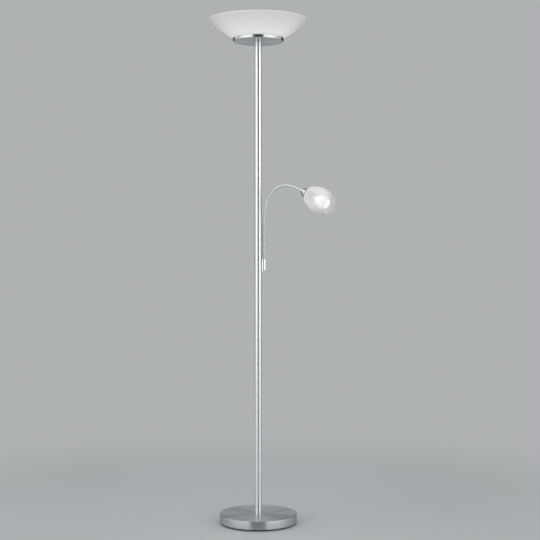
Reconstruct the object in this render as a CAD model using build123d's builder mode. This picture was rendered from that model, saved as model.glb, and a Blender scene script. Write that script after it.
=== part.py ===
# Torchiere floor lamp with a reading light on a flexible arm.
#
# Frame: the origin is on the floor, on the axis of the pole. +Z is up, the reading light's
# bracket is on the pole's +X side and its toggle levers are on the -X side. Millimetres.

import math
import os

from build123d import *

os.makedirs("parts", exist_ok=True)

# ---------------------------------------------------------------- sizes

overall_height = 1800.0

# base
base_diameter = 276.0
base_height = 35.0
base_cover_wall = 1.0
base_cover_lift = 6.0
base_edge_radius = 0.8
foot_pad_inset = 3.0
foot_pad_thickness = 3.0
weight_cover_gap = 7.0
weight_plate_thickness = 14.0
weight_rim_width = 8.0
weight_hub_diameter = 60.0
weight_edge_chamfer = 1.0
nut_recess_diameter = 44.0
nut_recess_depth = 21.0
base_washer_diameter = 40.0
base_washer_thickness = 2.5
cable_channel_width = 9.0
cable_channel_height = 12.0

# cable gland in the back of the base cover
gland_height = 11.0
gland_bore = 6.4
gland_neck_diameter = 8.6
gland_flange_diameter = 12.0
gland_flange_thickness = 2.5
gland_inner_diameter = 11.0
gland_inner_thickness = 1.3
gland_edge = 0.6

# pole
pole_diameter = 25.0
pole_wall = 1.2
pole_section_count = 3
bush_length = 16.0
socket_length = 18.0
socket_bore = 16.0
stud_bush_length = 14.0
stud_length = 15.0
stud_bore = 11.0

# threaded tubes and their nuts
nipple_diameter = 9.8
nipple_bore = 7.0
thread_end = 1.0
nut_width = 16.0
nut_thickness = 5.5

# pan and bowl
bowl_diameter = 350.0
bowl_height = 75.0
bowl_glass = 4.0
bowl_floor_inset = 36.0
bowl_shoulder_reach = 13.0
bowl_shoulder_rise = 17.5
bowl_side_inset = 29.7
bowl_side_rise = 45.5
bowl_rim_slope = 46.0
bowl_hole_diameter = 14.0
bowl_rim_radius = 1.8
bowl_seat_height = 3.8
wall_steps = 10
pan_diameter = 182.0
pan_height = 12.0
pan_wall = 1.2
pan_corner_radius = 3.0
bowl_spacer_diameter = 30.0
bowl_gasket_inset = 3.0
bowl_gasket_width = 6.0
bowl_washer_diameter = 40.0
bowl_washer_thickness = 1.0

# lamp in the bowl
bracket_spacer_diameter = 16.0
bracket_spacer_height = 9.0
lamp_bracket_width = 30.0
lamp_bracket_sheet = 1.2
lamp_bracket_bend = 2.4
bowl_lamp_length = 117.6
bowl_lamp_diameter = 11.5
bowl_lamp_end_diameter = 6.8
bowl_lamp_pinch_length = 11.0
bowl_lamp_height = 14.0
lamp_holder_thickness = 12.0
lamp_holder_width = 18.0
lamp_holder_height = 22.0
lamp_holder_edge = 3.0
lamp_contact_depth = 3.0
holder_screw_spacing = 12.0
screw_diameter = 3.0
screw_length = 7.0
screw_head_diameter = 5.5
screw_head_height = 1.8

# toggle switches
lower_switch_height = 904.0
switch_spacing = 25.0
switch_body_width = 8.0
switch_body_height = 13.0
switch_body_depth = 9.0
switch_bush_diameter = 6.4
switch_bush_bore = 5.0
toggle_pivot_inset = 3.0
toggle_pivot_diameter = 4.4
toggle_pin_diameter = 1.2
toggle_pin_length = 7.2
toggle_length = 8.0
toggle_stem_diameter = 2.4
toggle_ball_diameter = 5.5
toggle_tilt = 17.0

# arm bracket
arm_offset = 19.5
arm_bracket_diameter = 17.0
arm_bracket_length = 46.0
arm_bracket_drop = 5.0
arm_bracket_mitre = 30.0
arm_bracket_edge = 0.5
arm_wire_hole_diameter = 5.0
arm_wire_rise = 14.5
arm_seat_rise = 3.5
bracket_screw_diameter = 3.8
bracket_screw_length = 6.2
bracket_screw_head_diameter = 7.0
bracket_screw_head_height = 2.6

# arm tube, its swivel stop and its ferrule
arm_diameter = 11.5
arm_bore = 8.0
arm_tube_length = 124.0
arm_turn = 36.0
arm_swivel_low = -69.0
arm_swivel_high = 141.0
stop_rise = 10.0
stop_screw_diameter = 2.8
stop_groove_width = 3.4
stop_groove_depth = 0.8
stop_margin = 3.0
ferrule_length = 23.0
ferrule_groove_height = 4.5
ferrule_groove_diameter = 9.8
ferrule_spigot_length = 12.0
ferrule_edge = 0.6

# flexible neck: sections of a wound hose that turn on round knuckles
neck_showing_end = 1.0
neck_embedded_length = 11.0
neck_section_length = 44.0
neck_end_length = 22.0
neck_bends = (9.1, 10.1, 17.1, 34.9, 29.9, 13.1, 1.0)
neck_diameter = 9.0
neck_bore = 5.6
neck_rib_depth = 0.35
neck_rib_pitch = 2.2
rib_root_share = 0.2
rib_slope_share = 0.2
neck_bore_steps = 4
knuckle_lip = 1.6
sleeve_length = 5.0

# reading head, measured along its axis from the end of the neck
cup_back = -12.0
cup_front = 21.0
cup_small_diameter = 12.0
cup_collar_length = 5.0
cup_diameter = 48.0
cup_wall = 1.0
cup_boss_diameter = 20.0
cup_boss_length = 5.0
head_stud_diameter = 7.8
head_stud_length = 20.0
head_stud_bore = 4.0
holder_back = 12.0
holder_front = 55.0
holder_diameter = 27.4
holder_shoulder_diameter = 36.0
holder_shoulder_front = 21.5
holder_shoulder_thickness = 3.0
holder_bore = 14.6
holder_wire_bore = 5.0
shade_length = 105.0
shade_glass = 2.5
shade_hole_diameter = 28.6
shade_back_diameter = 43.0
shade_diameter = 91.4
shade_widest_place = 62.0
shade_mouth_diameter = 71.0
shade_back_slope = 62.0
shade_mouth_slope = -27.0
shade_side_place = 26.3
shade_side_diameter = 77.6
shade_rim_radius = 1.0
shade_ring_diameter = 37.0
shade_ring_height = 6.0
bulb_diameter = 45.0
bulb_inset = 35.0
bulb_length = 80.0
bulb_cap_diameter = 14.0
bulb_cap_length = 25.0
bulb_neck_diameter = 20.0
bulb_neck_lean = 135.0
bulb_rim_height = 3.0
bulb_glass = 0.8

# clearances
thread_gap = 0.1
bush_gap = 0.1
turning_gap = 0.08
saddle_gap = 0.05
knuckle_gap = 0.1
slot_gap = 0.2
part_gap = 0.3

# ---------------------------------------------------------------- places worked out from the sizes

pole_radius = pole_diameter / 2
pole_inner_radius = pole_radius - pole_wall
bush_radius = pole_inner_radius - bush_gap
nipple_hole_radius = nipple_diameter / 2 + thread_gap

bowl_bottom = overall_height - bowl_height
pan_floor = bowl_bottom - bowl_seat_height
pan_bottom = pan_floor - pan_wall
pole_bottom = base_height
pole_section_length = (pan_bottom - pole_bottom) / pole_section_count
pole_joints = [pole_bottom + pole_section_length * step for step in range(1, pole_section_count)]

weight_bottom = foot_pad_thickness
weight_diameter = base_diameter - 2 * (base_cover_wall + weight_cover_gap)
foot_pad_diameter = weight_diameter - 2 * foot_pad_inset
base_inside_top = base_height - base_cover_wall
recess_top = weight_bottom + nut_recess_depth
base_nut_bottom = recess_top - base_washer_thickness - nut_thickness

bowl_floor_diameter = pan_diameter - 2 * bowl_floor_inset
bowl_shoulder_radius = pan_diameter / 2 + bowl_shoulder_reach
bowl_side_radius = bowl_diameter / 2 - bowl_side_inset
bowl_gasket_diameter = bowl_floor_diameter - 2 * bowl_gasket_inset
bowl_washer_top = bowl_bottom + bowl_glass + bowl_washer_thickness
bracket_floor = bowl_washer_top + bracket_spacer_height
bracket_top = bracket_floor + lamp_bracket_sheet
bowl_lamp_axis = bracket_top + bowl_lamp_height
holder_inner_face = bowl_lamp_length / 2 - lamp_contact_depth + part_gap
bracket_end_face = holder_inner_face + lamp_holder_thickness + part_gap
bracket_half_length = bracket_end_face + lamp_bracket_sheet

switch_heights = (lower_switch_height, lower_switch_height + switch_spacing)
toggle_pivot_x = -(pole_radius - toggle_pivot_inset)
switch_body_face = -math.sqrt((pole_inner_radius - part_gap) ** 2 - (switch_body_width / 2) ** 2)
bracket_screw_seat = math.sqrt(pole_inner_radius**2 - (bracket_screw_head_diameter / 2) ** 2) - saddle_gap

arm_bracket_bottom = lower_switch_height - arm_bracket_drop
arm_bracket_top = arm_bracket_bottom + arm_bracket_length
arm_wire_height = lower_switch_height + arm_wire_rise
arm_seat_height = arm_wire_height + arm_seat_rise
stop_height = arm_seat_height + stop_rise
arm_tube_top = arm_seat_height + arm_tube_length
ferrule_top = arm_tube_top + ferrule_length
neck_start_height = ferrule_top + neck_showing_end

arm_radius = arm_diameter / 2
neck_root_diameter = neck_diameter - 2 * neck_rib_depth

arm_angle = math.radians(arm_turn)
arm_plane = Plane(
    origin=(arm_offset, 0, 0),
    x_dir=(math.cos(arm_angle), -math.sin(arm_angle), 0),
    z_dir=(-math.sin(arm_angle), -math.cos(arm_angle), 0),
)


def section_length(index):
    """Length of a section of the neck: the first and the last are short."""
    return neck_section_length if 0 < index < len(neck_bends) - 1 else neck_end_length


def along_section(start, bend, length, distance):
    """The place at a distance along a section: a straight sleeve, then an even bend."""
    reach, height, heading = start
    straight = min(distance, sleeve_length)
    before = math.radians(heading)
    reach += straight * math.cos(before)
    height += straight * math.sin(before)
    bent = distance - straight
    if bent > 0:
        radius = (length - sleeve_length) / math.radians(bend)
        after = before - bent / radius
        reach += radius * (math.sin(before) - math.sin(after))
        height += radius * (math.cos(after) - math.cos(before))
        heading = math.degrees(after)
    return (reach, height, heading)


def neck_places():
    """Each section's start and the neck's end, as (reach, height, heading in degrees)."""
    places = [(0.0, neck_start_height, 90.0)]
    for index, bend in enumerate(neck_bends):
        length = section_length(index)
        places.append(along_section(places[-1], bend, length, length))
    return places


def square_to_neck(place):
    """Plane across the neck at a place; its x axis is the arm plane's normal everywhere."""
    reach, height, heading = place
    along = math.radians(heading)
    direction = arm_plane.x_dir * math.cos(along) + Vector(0, 0, 1) * math.sin(along)
    return Plane(
        origin=arm_plane.from_local_coords(Vector(reach, height, 0)),
        x_dir=arm_plane.z_dir,
        z_dir=direction,
    )


neck_stations = neck_places()
head_end = square_to_neck(neck_stations[-1])
head_axis = Axis(head_end.origin, head_end.z_dir)
head_section = Plane(origin=head_end.origin, x_dir=head_end.z_dir, z_dir=arm_plane.z_dir)
shade_front = holder_shoulder_front + shade_length
bulb_center = shade_front - bulb_inset

# ---------------------------------------------------------------- helpers


def ring(outer_diameter, inner_diameter, plane):
    """A round section with an optional hole, centred on a plane."""
    with BuildSketch(plane) as section:
        Circle(outer_diameter / 2)
        if inner_diameter > 0:
            Circle(inner_diameter / 2, mode=Mode.SUBTRACT)
    return section.sketch


def outline(points, plane):
    """A closed polygon on a plane."""
    with BuildSketch(plane) as section:
        with BuildLine():
            Polyline(*points, close=True)
        make_face()
    return section.sketch


def hexagon(width, hole_diameter, plane):
    """A nut's section: width across its flats, with a round hole."""
    with BuildSketch(plane) as section:
        RegularPolygon(width / 2, 6, major_radius=False)
        Circle(hole_diameter / 2, mode=Mode.SUBTRACT)
    return section.sketch


def save(piece, name):
    """Label a finished piece and write it to its own file."""
    piece.part.label = name
    export_step(piece.part, f"parts/{name}.step")


def beside(curve, distance):
    """Points beside a curve, to its left where the distance is positive."""
    steps = [step / wall_steps for step in range(wall_steps + 1)]
    return [curve @ step + (curve % step).rotate(Axis.Z, 90) * distance for step in steps]


def level(height, x=0.0, y=0.0):
    """A horizontal plane at a height, centred over a point of the floor."""
    return Plane(origin=(x, y, height), x_dir=(1, 0, 0), z_dir=(0, 0, 1))


def facing_side(x, height, side=1):
    """An upright plane on the pole's middle plane, facing +X, or -X where side is -1."""
    return Plane(origin=(x, 0, height), x_dir=(0, 1, 0), z_dir=(side, 0, 0))


def facing_back(x, y, height):
    """An upright plane that faces +Y."""
    return Plane(origin=(x, y, height), x_dir=(1, 0, 0), z_dir=(0, 1, 0))


# ---------------------------------------------------------------- base

# dark foam pad that covers the whole underside and stands on the floor
with BuildPart() as foot_pad:
    extrude(ring(foot_pad_diameter, 0, level(0)), amount=foot_pad_thickness)
save(foot_pad, "foot_pad")

# cast iron weight: a plate with a raised rim and hub that carry the cover
with BuildPart() as base_weight:
    weight_radius = weight_diameter / 2
    plate_top = weight_bottom + weight_plate_thickness
    revolve(
        outline(
            [
                (nipple_hole_radius, recess_top),
                (nut_recess_diameter / 2, recess_top),
                (nut_recess_diameter / 2, weight_bottom),
                (weight_radius, weight_bottom),
                (weight_radius, base_inside_top),
                (weight_radius - weight_rim_width, base_inside_top),
                (weight_radius - weight_rim_width, plate_top),
                (weight_hub_diameter / 2, plate_top),
                (weight_hub_diameter / 2, base_inside_top),
                (nipple_hole_radius, base_inside_top),
            ],
            Plane.XZ,
        ),
        axis=Axis.Z,
    )
    outer_edges = base_weight.edges().filter_by(GeomType.CIRCLE).sort_by(SortBy.RADIUS)[-2:]
    chamfer(outer_edges, length=weight_edge_chamfer)
    channel_start = base_washer_diameter / 2
    channel_length = weight_radius + part_gap - channel_start
    with BuildSketch(level(weight_bottom, y=channel_start + channel_length / 2)) as channel:
        Rectangle(cable_channel_width, channel_length)
    extrude(channel.sketch, amount=cable_channel_height, mode=Mode.SUBTRACT)
save(base_weight, "base_weight")

# pressed cover with a notch at the back for the cable gland
with BuildPart() as base_cover:
    cover_radius = base_diameter / 2
    revolve(
        outline(
            [
                (nipple_hole_radius, base_inside_top),
                (cover_radius - base_cover_wall, base_inside_top),
                (cover_radius - base_cover_wall, base_cover_lift),
                (cover_radius, base_cover_lift),
                (cover_radius, base_height),
                (nipple_hole_radius, base_height),
            ],
            Plane.XZ,
        ),
        axis=Axis.Z,
    )
    top_edges = base_cover.edges().filter_by(GeomType.CIRCLE).group_by(Axis.Z)[-1]
    fillet(top_edges.sort_by(SortBy.RADIUS)[-1], radius=base_edge_radius)
    with BuildSketch(Plane.XZ.offset(-cover_radius / 2)) as notch:
        with Locations((0, gland_height)):
            Circle(gland_neck_diameter / 2 + slot_gap)
        with Locations((0, gland_height / 2)):
            Rectangle(gland_neck_diameter + 2 * slot_gap, gland_height)
    extrude(notch.sketch, amount=-cover_radius, mode=Mode.SUBTRACT)
save(base_cover, "base_cover")

# rubber cable gland: flanges inside and outside the cover's wall
with BuildPart() as cable_gland:
    gland_outside = base_diameter / 2 + part_gap / 2
    gland_inside = base_diameter / 2 - base_cover_wall - part_gap
    inside_end = gland_inside - gland_inner_thickness
    outer_face = facing_back(0, gland_outside, gland_height)
    inner_face = facing_back(0, inside_end, gland_height)
    extrude(ring(gland_flange_diameter, gland_bore, outer_face), amount=gland_flange_thickness)
    extrude(ring(gland_neck_diameter, gland_bore, inner_face), amount=gland_outside - inside_end)
    extrude(ring(gland_inner_diameter, gland_bore, inner_face), amount=gland_inner_thickness)
    rim_edges = cable_gland.edges().filter_by(GeomType.CIRCLE).group_by(Axis.Y)[-1]
    chamfer(rim_edges.sort_by(SortBy.RADIUS)[-1], length=gland_edge)
save(cable_gland, "cable_gland")

# threaded tube, washer and nut that pull the pole's foot on to the weight
with BuildPart() as base_nipple:
    base_nipple_bottom = base_nut_bottom - thread_end
    base_nipple_length = pole_bottom + bush_length - thread_end - base_nipple_bottom
    extrude(ring(nipple_diameter, nipple_bore, level(base_nipple_bottom)), amount=base_nipple_length)
save(base_nipple, "base_nipple")

with BuildPart() as base_washer:
    extrude(
        ring(base_washer_diameter, 2 * nipple_hole_radius, level(recess_top)),
        amount=-base_washer_thickness,
    )
save(base_washer, "base_washer")

with BuildPart() as base_nut:
    extrude(hexagon(nut_width, 2 * nipple_hole_radius, level(base_nut_bottom)), amount=nut_thickness)
save(base_nut, "base_nut")

# ---------------------------------------------------------------- pole

with BuildPart() as pole_foot_bush:
    extrude(ring(2 * bush_radius, 2 * nipple_hole_radius, level(pole_bottom)), amount=bush_length)
save(pole_foot_bush, "pole_foot_bush")

with BuildPart() as pole_lower:
    extrude(ring(pole_diameter, 2 * pole_inner_radius, level(pole_bottom)), amount=pole_section_length)
save(pole_lower, "pole_lower")

# the middle section carries the switches, the arm bracket and the hole for the arm's wires
with BuildPart() as pole_middle:
    extrude(ring(pole_diameter, 2 * pole_inner_radius, level(pole_joints[0])), amount=pole_section_length)
    with BuildSketch(Plane.YZ) as switch_holes:
        for height in switch_heights:
            with Locations((0, height)):
                Circle(switch_bush_diameter / 2 + thread_gap)
    extrude(switch_holes.sketch, amount=-pole_diameter, mode=Mode.SUBTRACT)
    with BuildSketch(Plane.YZ) as arm_holes:
        with Locations((0, arm_wire_height)):
            Circle(arm_wire_hole_diameter / 2)
        with Locations((0, lower_switch_height)):
            Circle(bracket_screw_diameter / 2 + part_gap)
    extrude(arm_holes.sketch, amount=pole_diameter, mode=Mode.SUBTRACT)
save(pole_middle, "pole_middle")

with BuildPart() as pole_upper:
    extrude(ring(pole_diameter, 2 * pole_inner_radius, level(pole_joints[-1])), amount=pole_section_length)
save(pole_upper, "pole_upper")

# threaded sockets flush with the top of each lower section, and the studs that screw into them
with BuildPart() as pole_sockets:
    for joint in pole_joints:
        extrude(ring(2 * bush_radius, socket_bore, level(joint)), amount=-socket_length)
save(pole_sockets, "pole_sockets")

with BuildPart() as pole_studs:
    for joint in pole_joints:
        extrude(ring(2 * bush_radius, stud_bore, level(joint)), amount=stud_bush_length)
        extrude(ring(socket_bore - 2 * thread_gap, stud_bore, level(joint)), amount=-stud_length)
save(pole_studs, "pole_studs")

with BuildPart() as pole_top_bush:
    extrude(ring(2 * bush_radius, 2 * nipple_hole_radius, level(pan_bottom)), amount=-bush_length)
save(pole_top_bush, "pole_top_bush")

# ---------------------------------------------------------------- pan and bowl

# spun pan that hides the bowl's seat
with BuildPart() as bowl_pan:
    pan_radius = pan_diameter / 2
    with BuildSketch(Plane.XZ) as pan_profile:
        with BuildLine():
            Polyline(
                (nipple_hole_radius, pan_bottom),
                (pan_radius, pan_bottom),
                (pan_radius, pan_bottom + pan_height),
                (pan_radius - pan_wall, pan_bottom + pan_height),
                (pan_radius - pan_wall, pan_floor),
                (nipple_hole_radius, pan_floor),
                close=True,
            )
        make_face()
        outer_corner = pan_profile.vertices().group_by(Axis.X)[-1].sort_by(Axis.Y)[0]
        fillet(outer_corner, radius=pan_corner_radius)
        inner_corner = pan_profile.vertices().filter_by_position(Axis.Y, pan_floor, pan_floor)
        fillet(inner_corner.sort_by(Axis.X)[-1], radius=pan_corner_radius - pan_wall)
    revolve(axis=Axis.Z)
save(bowl_pan, "bowl_pan")

with BuildPart() as bowl_spacer:
    extrude(ring(bowl_spacer_diameter, 2 * nipple_hole_radius, level(pan_floor)), amount=bowl_seat_height)
save(bowl_spacer, "bowl_spacer")

with BuildPart() as bowl_gasket:
    gasket_bore = bowl_gasket_diameter - 2 * bowl_gasket_width
    extrude(ring(bowl_gasket_diameter, gasket_bore, level(pan_floor)), amount=bowl_seat_height)
save(bowl_gasket, "bowl_gasket")

# glass bowl: a flat floor that sweeps up into a wide open rim, its edge fire-rounded
with BuildPart() as bowl_shade:
    rim_angle = math.radians(bowl_rim_slope)
    rim_flat = bowl_glass / 2 - bowl_rim_radius
    rim_middle = (
        bowl_diameter / 2 - bowl_rim_radius * (1 - math.cos(rim_angle)) - rim_flat * math.sin(rim_angle),
        overall_height - bowl_rim_radius * (1 - math.sin(rim_angle)) - rim_flat * math.cos(rim_angle),
    )
    rim_outside = (
        rim_middle[0] + bowl_glass / 2 * math.sin(rim_angle),
        rim_middle[1] - bowl_glass / 2 * math.cos(rim_angle),
    )
    with BuildSketch(Plane.XZ) as bowl_profile:
        with BuildLine():
            floor_line = Line((bowl_hole_diameter / 2, bowl_bottom), (bowl_floor_diameter / 2, bowl_bottom))
            outside = Spline(
                floor_line @ 1,
                (bowl_shoulder_radius, bowl_bottom + bowl_shoulder_rise),
                (bowl_side_radius, bowl_bottom + bowl_side_rise),
                rim_outside,
                tangents=[(1, 0), (math.cos(rim_angle), math.sin(rim_angle))],
            )
            inside = Spline(*beside(outside, bowl_glass), tangents=[outside % 0, outside % 1])
            Line(outside @ 1, inside @ 1)
            Polyline(inside @ 0, floor_line @ 0 + Vector(0, bowl_glass), floor_line @ 0)
        make_face()
        fillet(bowl_profile.vertices().sort_by(Axis.Y)[-2:], radius=bowl_rim_radius)
    revolve(axis=Axis.Z)
save(bowl_shade, "bowl_shade")

with BuildPart() as bowl_washer:
    extrude(
        ring(bowl_washer_diameter, 2 * nipple_hole_radius, level(bowl_washer_top)),
        amount=-bowl_washer_thickness,
    )
save(bowl_washer, "bowl_washer")

with BuildPart() as bracket_spacer:
    extrude(
        ring(bracket_spacer_diameter, 2 * nipple_hole_radius, level(bowl_washer_top)),
        amount=bracket_spacer_height,
    )
save(bracket_spacer, "bracket_spacer")

# sheet bracket with turned-up ends that hold the lamp holders
screw_heights = (bowl_lamp_axis - holder_screw_spacing / 2, bowl_lamp_axis + holder_screw_spacing / 2)
with BuildPart() as lamp_bracket:
    holder_top = bowl_lamp_axis + lamp_holder_height / 2
    with BuildSketch(Plane.XZ) as bracket_profile:
        with BuildLine():
            Polyline(
                (-bracket_half_length, bracket_floor),
                (bracket_half_length, bracket_floor),
                (bracket_half_length, holder_top),
                (bracket_end_face, holder_top),
                (bracket_end_face, bracket_top),
                (-bracket_end_face, bracket_top),
                (-bracket_end_face, holder_top),
                (-bracket_half_length, holder_top),
                close=True,
            )
        make_face()
        fillet(bracket_profile.vertices().group_by(Axis.Y)[0], radius=lamp_bracket_bend)
        inner_bends = bracket_profile.vertices().group_by(Axis.Y)[-2]
        fillet(inner_bends, radius=lamp_bracket_bend - lamp_bracket_sheet)
    extrude(amount=lamp_bracket_width / 2, both=True)
    nipple_hole = ring(2 * nipple_hole_radius, 0, level(bracket_floor))
    extrude(nipple_hole, amount=lamp_bracket_sheet, mode=Mode.SUBTRACT)
    with BuildSketch(Plane.YZ.offset(-bracket_half_length)) as bracket_holes:
        for height in screw_heights:
            with Locations((0, height)):
                Circle(screw_diameter / 2 + thread_gap)
    extrude(bracket_holes.sketch, amount=2 * bracket_half_length, mode=Mode.SUBTRACT)
save(lamp_bracket, "lamp_bracket")

with BuildPart() as bowl_nut:
    extrude(hexagon(nut_width, 2 * nipple_hole_radius, level(bracket_top)), amount=nut_thickness)
save(bowl_nut, "bowl_nut")

with BuildPart() as bowl_nipple:
    bowl_nipple_bottom = pan_bottom - bush_length + thread_end
    bowl_nipple_length = bracket_top + nut_thickness + thread_end - bowl_nipple_bottom
    extrude(ring(nipple_diameter, nipple_bore, level(bowl_nipple_bottom)), amount=bowl_nipple_length)
save(bowl_nipple, "bowl_nipple")

# ceramic holders: a block at each end, with a contact socket facing the lamp
with BuildPart() as lamp_holders:
    for side in (-1, 1):
        face = facing_side(side * holder_inner_face, bowl_lamp_axis, side)
        with BuildSketch(face) as block:
            Rectangle(lamp_holder_width, lamp_holder_height)
            fillet(block.vertices(), radius=lamp_holder_edge)
        extrude(block.sketch, amount=lamp_holder_thickness)
        socket_diameter = bowl_lamp_end_diameter + 2 * part_gap
        extrude(ring(socket_diameter, 0, face), amount=lamp_contact_depth + part_gap, mode=Mode.SUBTRACT)
        for height in screw_heights:
            seat = facing_side(side * bracket_half_length, height, side)
            screw_hole = ring(screw_diameter + 2 * thread_gap, 0, seat)
            extrude(screw_hole, amount=-screw_length - part_gap, mode=Mode.SUBTRACT)
save(lamp_holders, "lamp_holders")

with BuildPart() as holder_screws:
    for side in (-1, 1):
        for height in screw_heights:
            seat = facing_side(side * bracket_half_length, height, side)
            extrude(ring(screw_head_diameter, 0, seat), amount=screw_head_height)
            extrude(ring(screw_diameter, 0, seat), amount=-screw_length)
save(holder_screws, "holder_screws")

# linear lamp: a quartz tube pinched down to a contact at each end
with BuildPart() as bowl_lamp:
    lamp_half = bowl_lamp_length / 2
    tube_half = lamp_half - bowl_lamp_pinch_length
    shoulder = (bowl_lamp_diameter - bowl_lamp_end_diameter) / 2
    lamp_plane = Plane(origin=(0, 0, bowl_lamp_axis), x_dir=(1, 0, 0), z_dir=(0, -1, 0))
    revolve(
        outline(
            [
                (-lamp_half, 0),
                (-lamp_half, bowl_lamp_end_diameter / 2),
                (-tube_half - shoulder, bowl_lamp_end_diameter / 2),
                (-tube_half, bowl_lamp_diameter / 2),
                (tube_half, bowl_lamp_diameter / 2),
                (tube_half + shoulder, bowl_lamp_end_diameter / 2),
                (lamp_half, bowl_lamp_end_diameter / 2),
                (lamp_half, 0),
            ],
            lamp_plane,
        ),
        axis=Axis(lamp_plane.origin, (1, 0, 0)),
    )
save(bowl_lamp, "bowl_lamp")

# ---------------------------------------------------------------- toggle switches

# switch bodies inside the pole, with a bush that fills the hole in the pole's wall
with BuildPart() as switch_bodies:
    for height in switch_heights:
        wall_face = facing_side(switch_body_face, height, -1)
        with BuildSketch(wall_face) as body_section:
            Rectangle(switch_body_width, switch_body_height)
        extrude(body_section.sketch, amount=-switch_body_depth)
        bush_end = pole_radius + part_gap
        extrude(ring(switch_bush_diameter, 0, wall_face), amount=bush_end + switch_body_face)
        bore_end = facing_side(toggle_pivot_x + toggle_pivot_diameter / 2 + part_gap, height, -1)
        extrude(ring(switch_bush_bore, 0, bore_end), amount=pole_radius, mode=Mode.SUBTRACT)
        pin_plane = facing_back(toggle_pivot_x, 0, height)
        pin_hole = ring(toggle_pin_diameter + 2 * turning_gap, 0, pin_plane)
        extrude(pin_hole, amount=toggle_pin_length / 2 + slot_gap, both=True, mode=Mode.SUBTRACT)
save(switch_bodies, "switch_bodies")


def toggle_pieces(height):
    """A lever for the switch at a height: pivot ball and pin, stem and knob, tipped up."""
    tilt = math.radians(toggle_tilt)
    pivot = Vector(toggle_pivot_x, 0, height)
    along = Vector(-math.cos(tilt), 0, math.sin(tilt))
    stem_plane = Plane(origin=pivot, x_dir=(0, 1, 0), z_dir=along)
    pin_plane = Plane(origin=pivot, x_dir=along, z_dir=(0, 1, 0))
    extrude(ring(toggle_stem_diameter, 0, stem_plane), amount=toggle_length)
    extrude(ring(toggle_pin_diameter, 0, pin_plane), amount=toggle_pin_length / 2, both=True)
    with Locations(pivot):
        Sphere(toggle_pivot_diameter / 2)
    with Locations(pivot + along * toggle_length):
        Sphere(toggle_ball_diameter / 2)


with BuildPart() as toggle_lower:
    toggle_pieces(switch_heights[0])
save(toggle_lower, "toggle_lower")

with BuildPart() as toggle_upper:
    toggle_pieces(switch_heights[1])
save(toggle_upper, "toggle_upper")

# ---------------------------------------------------------------- arm bracket and arm

# bracket: a short thick tube saddled on the pole, closed and mitred at the bottom
with BuildPart() as arm_bracket:
    extrude(
        ring(arm_bracket_diameter, 0, level(arm_bracket_bottom, x=arm_offset)),
        amount=arm_bracket_top - arm_bracket_bottom,
    )
    top_edge = arm_bracket.edges().filter_by(GeomType.CIRCLE).sort_by(Axis.Z)[-1]
    chamfer(top_edge, length=arm_bracket_edge)
    mitre = math.radians(arm_bracket_mitre)
    mitre_plane = Plane(
        origin=(pole_radius, 0, arm_bracket_bottom),
        x_dir=(0, 1, 0),
        z_dir=(math.sin(mitre), 0, -math.cos(mitre)),
    )
    cutter_diameter = 4 * arm_bracket_diameter
    extrude(ring(cutter_diameter, 0, mitre_plane), amount=arm_bracket_diameter, mode=Mode.SUBTRACT)
    arm_hole = ring(arm_diameter + 2 * turning_gap, 0, level(arm_seat_height, x=arm_offset))
    extrude(arm_hole, amount=arm_bracket_top - arm_seat_height, mode=Mode.SUBTRACT)
    wire_space_bottom = arm_wire_height - arm_wire_hole_diameter / 2
    wire_space = ring(arm_bore, 0, level(wire_space_bottom, x=arm_offset))
    extrude(wire_space, amount=arm_seat_height - wire_space_bottom, mode=Mode.SUBTRACT)
    wire_hole = ring(arm_wire_hole_diameter, 0, facing_side(0, arm_wire_height))
    extrude(wire_hole, amount=arm_offset, mode=Mode.SUBTRACT)
    thread_hole = ring(bracket_screw_diameter + 2 * thread_gap, 0, facing_side(0, lower_switch_height))
    extrude(thread_hole, amount=bracket_screw_seat + bracket_screw_length + part_gap, mode=Mode.SUBTRACT)
    stop_hole = ring(stop_screw_diameter + 2 * thread_gap, 0, facing_back(arm_offset, 0, stop_height))
    extrude(stop_hole, amount=arm_bracket_diameter, mode=Mode.SUBTRACT)
    saddle = ring(pole_diameter + 2 * saddle_gap, 0, level(arm_bracket_bottom))
    extrude(saddle, amount=arm_bracket_top - arm_bracket_bottom, mode=Mode.SUBTRACT)
save(arm_bracket, "arm_bracket")

# screw from inside the pole, put in through the lower switch's hole
with BuildPart() as bracket_screw:
    head_face = facing_side(bracket_screw_seat, lower_switch_height)
    extrude(ring(bracket_screw_head_diameter, 0, head_face), amount=-bracket_screw_head_height)
    extrude(ring(bracket_screw_diameter, 0, head_face), amount=bracket_screw_length)
save(bracket_screw, "bracket_screw")

# grub screw at the back of the bracket, with its tip in the arm's groove
with BuildPart() as stop_screw:
    tip_radius = arm_radius - stop_groove_depth + part_gap
    screw_end = arm_bracket_diameter / 2 - part_gap
    tip_face = facing_back(arm_offset, tip_radius, stop_height)
    extrude(ring(stop_screw_diameter, 0, tip_face), amount=screw_end - tip_radius)
save(stop_screw, "stop_screw")

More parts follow.
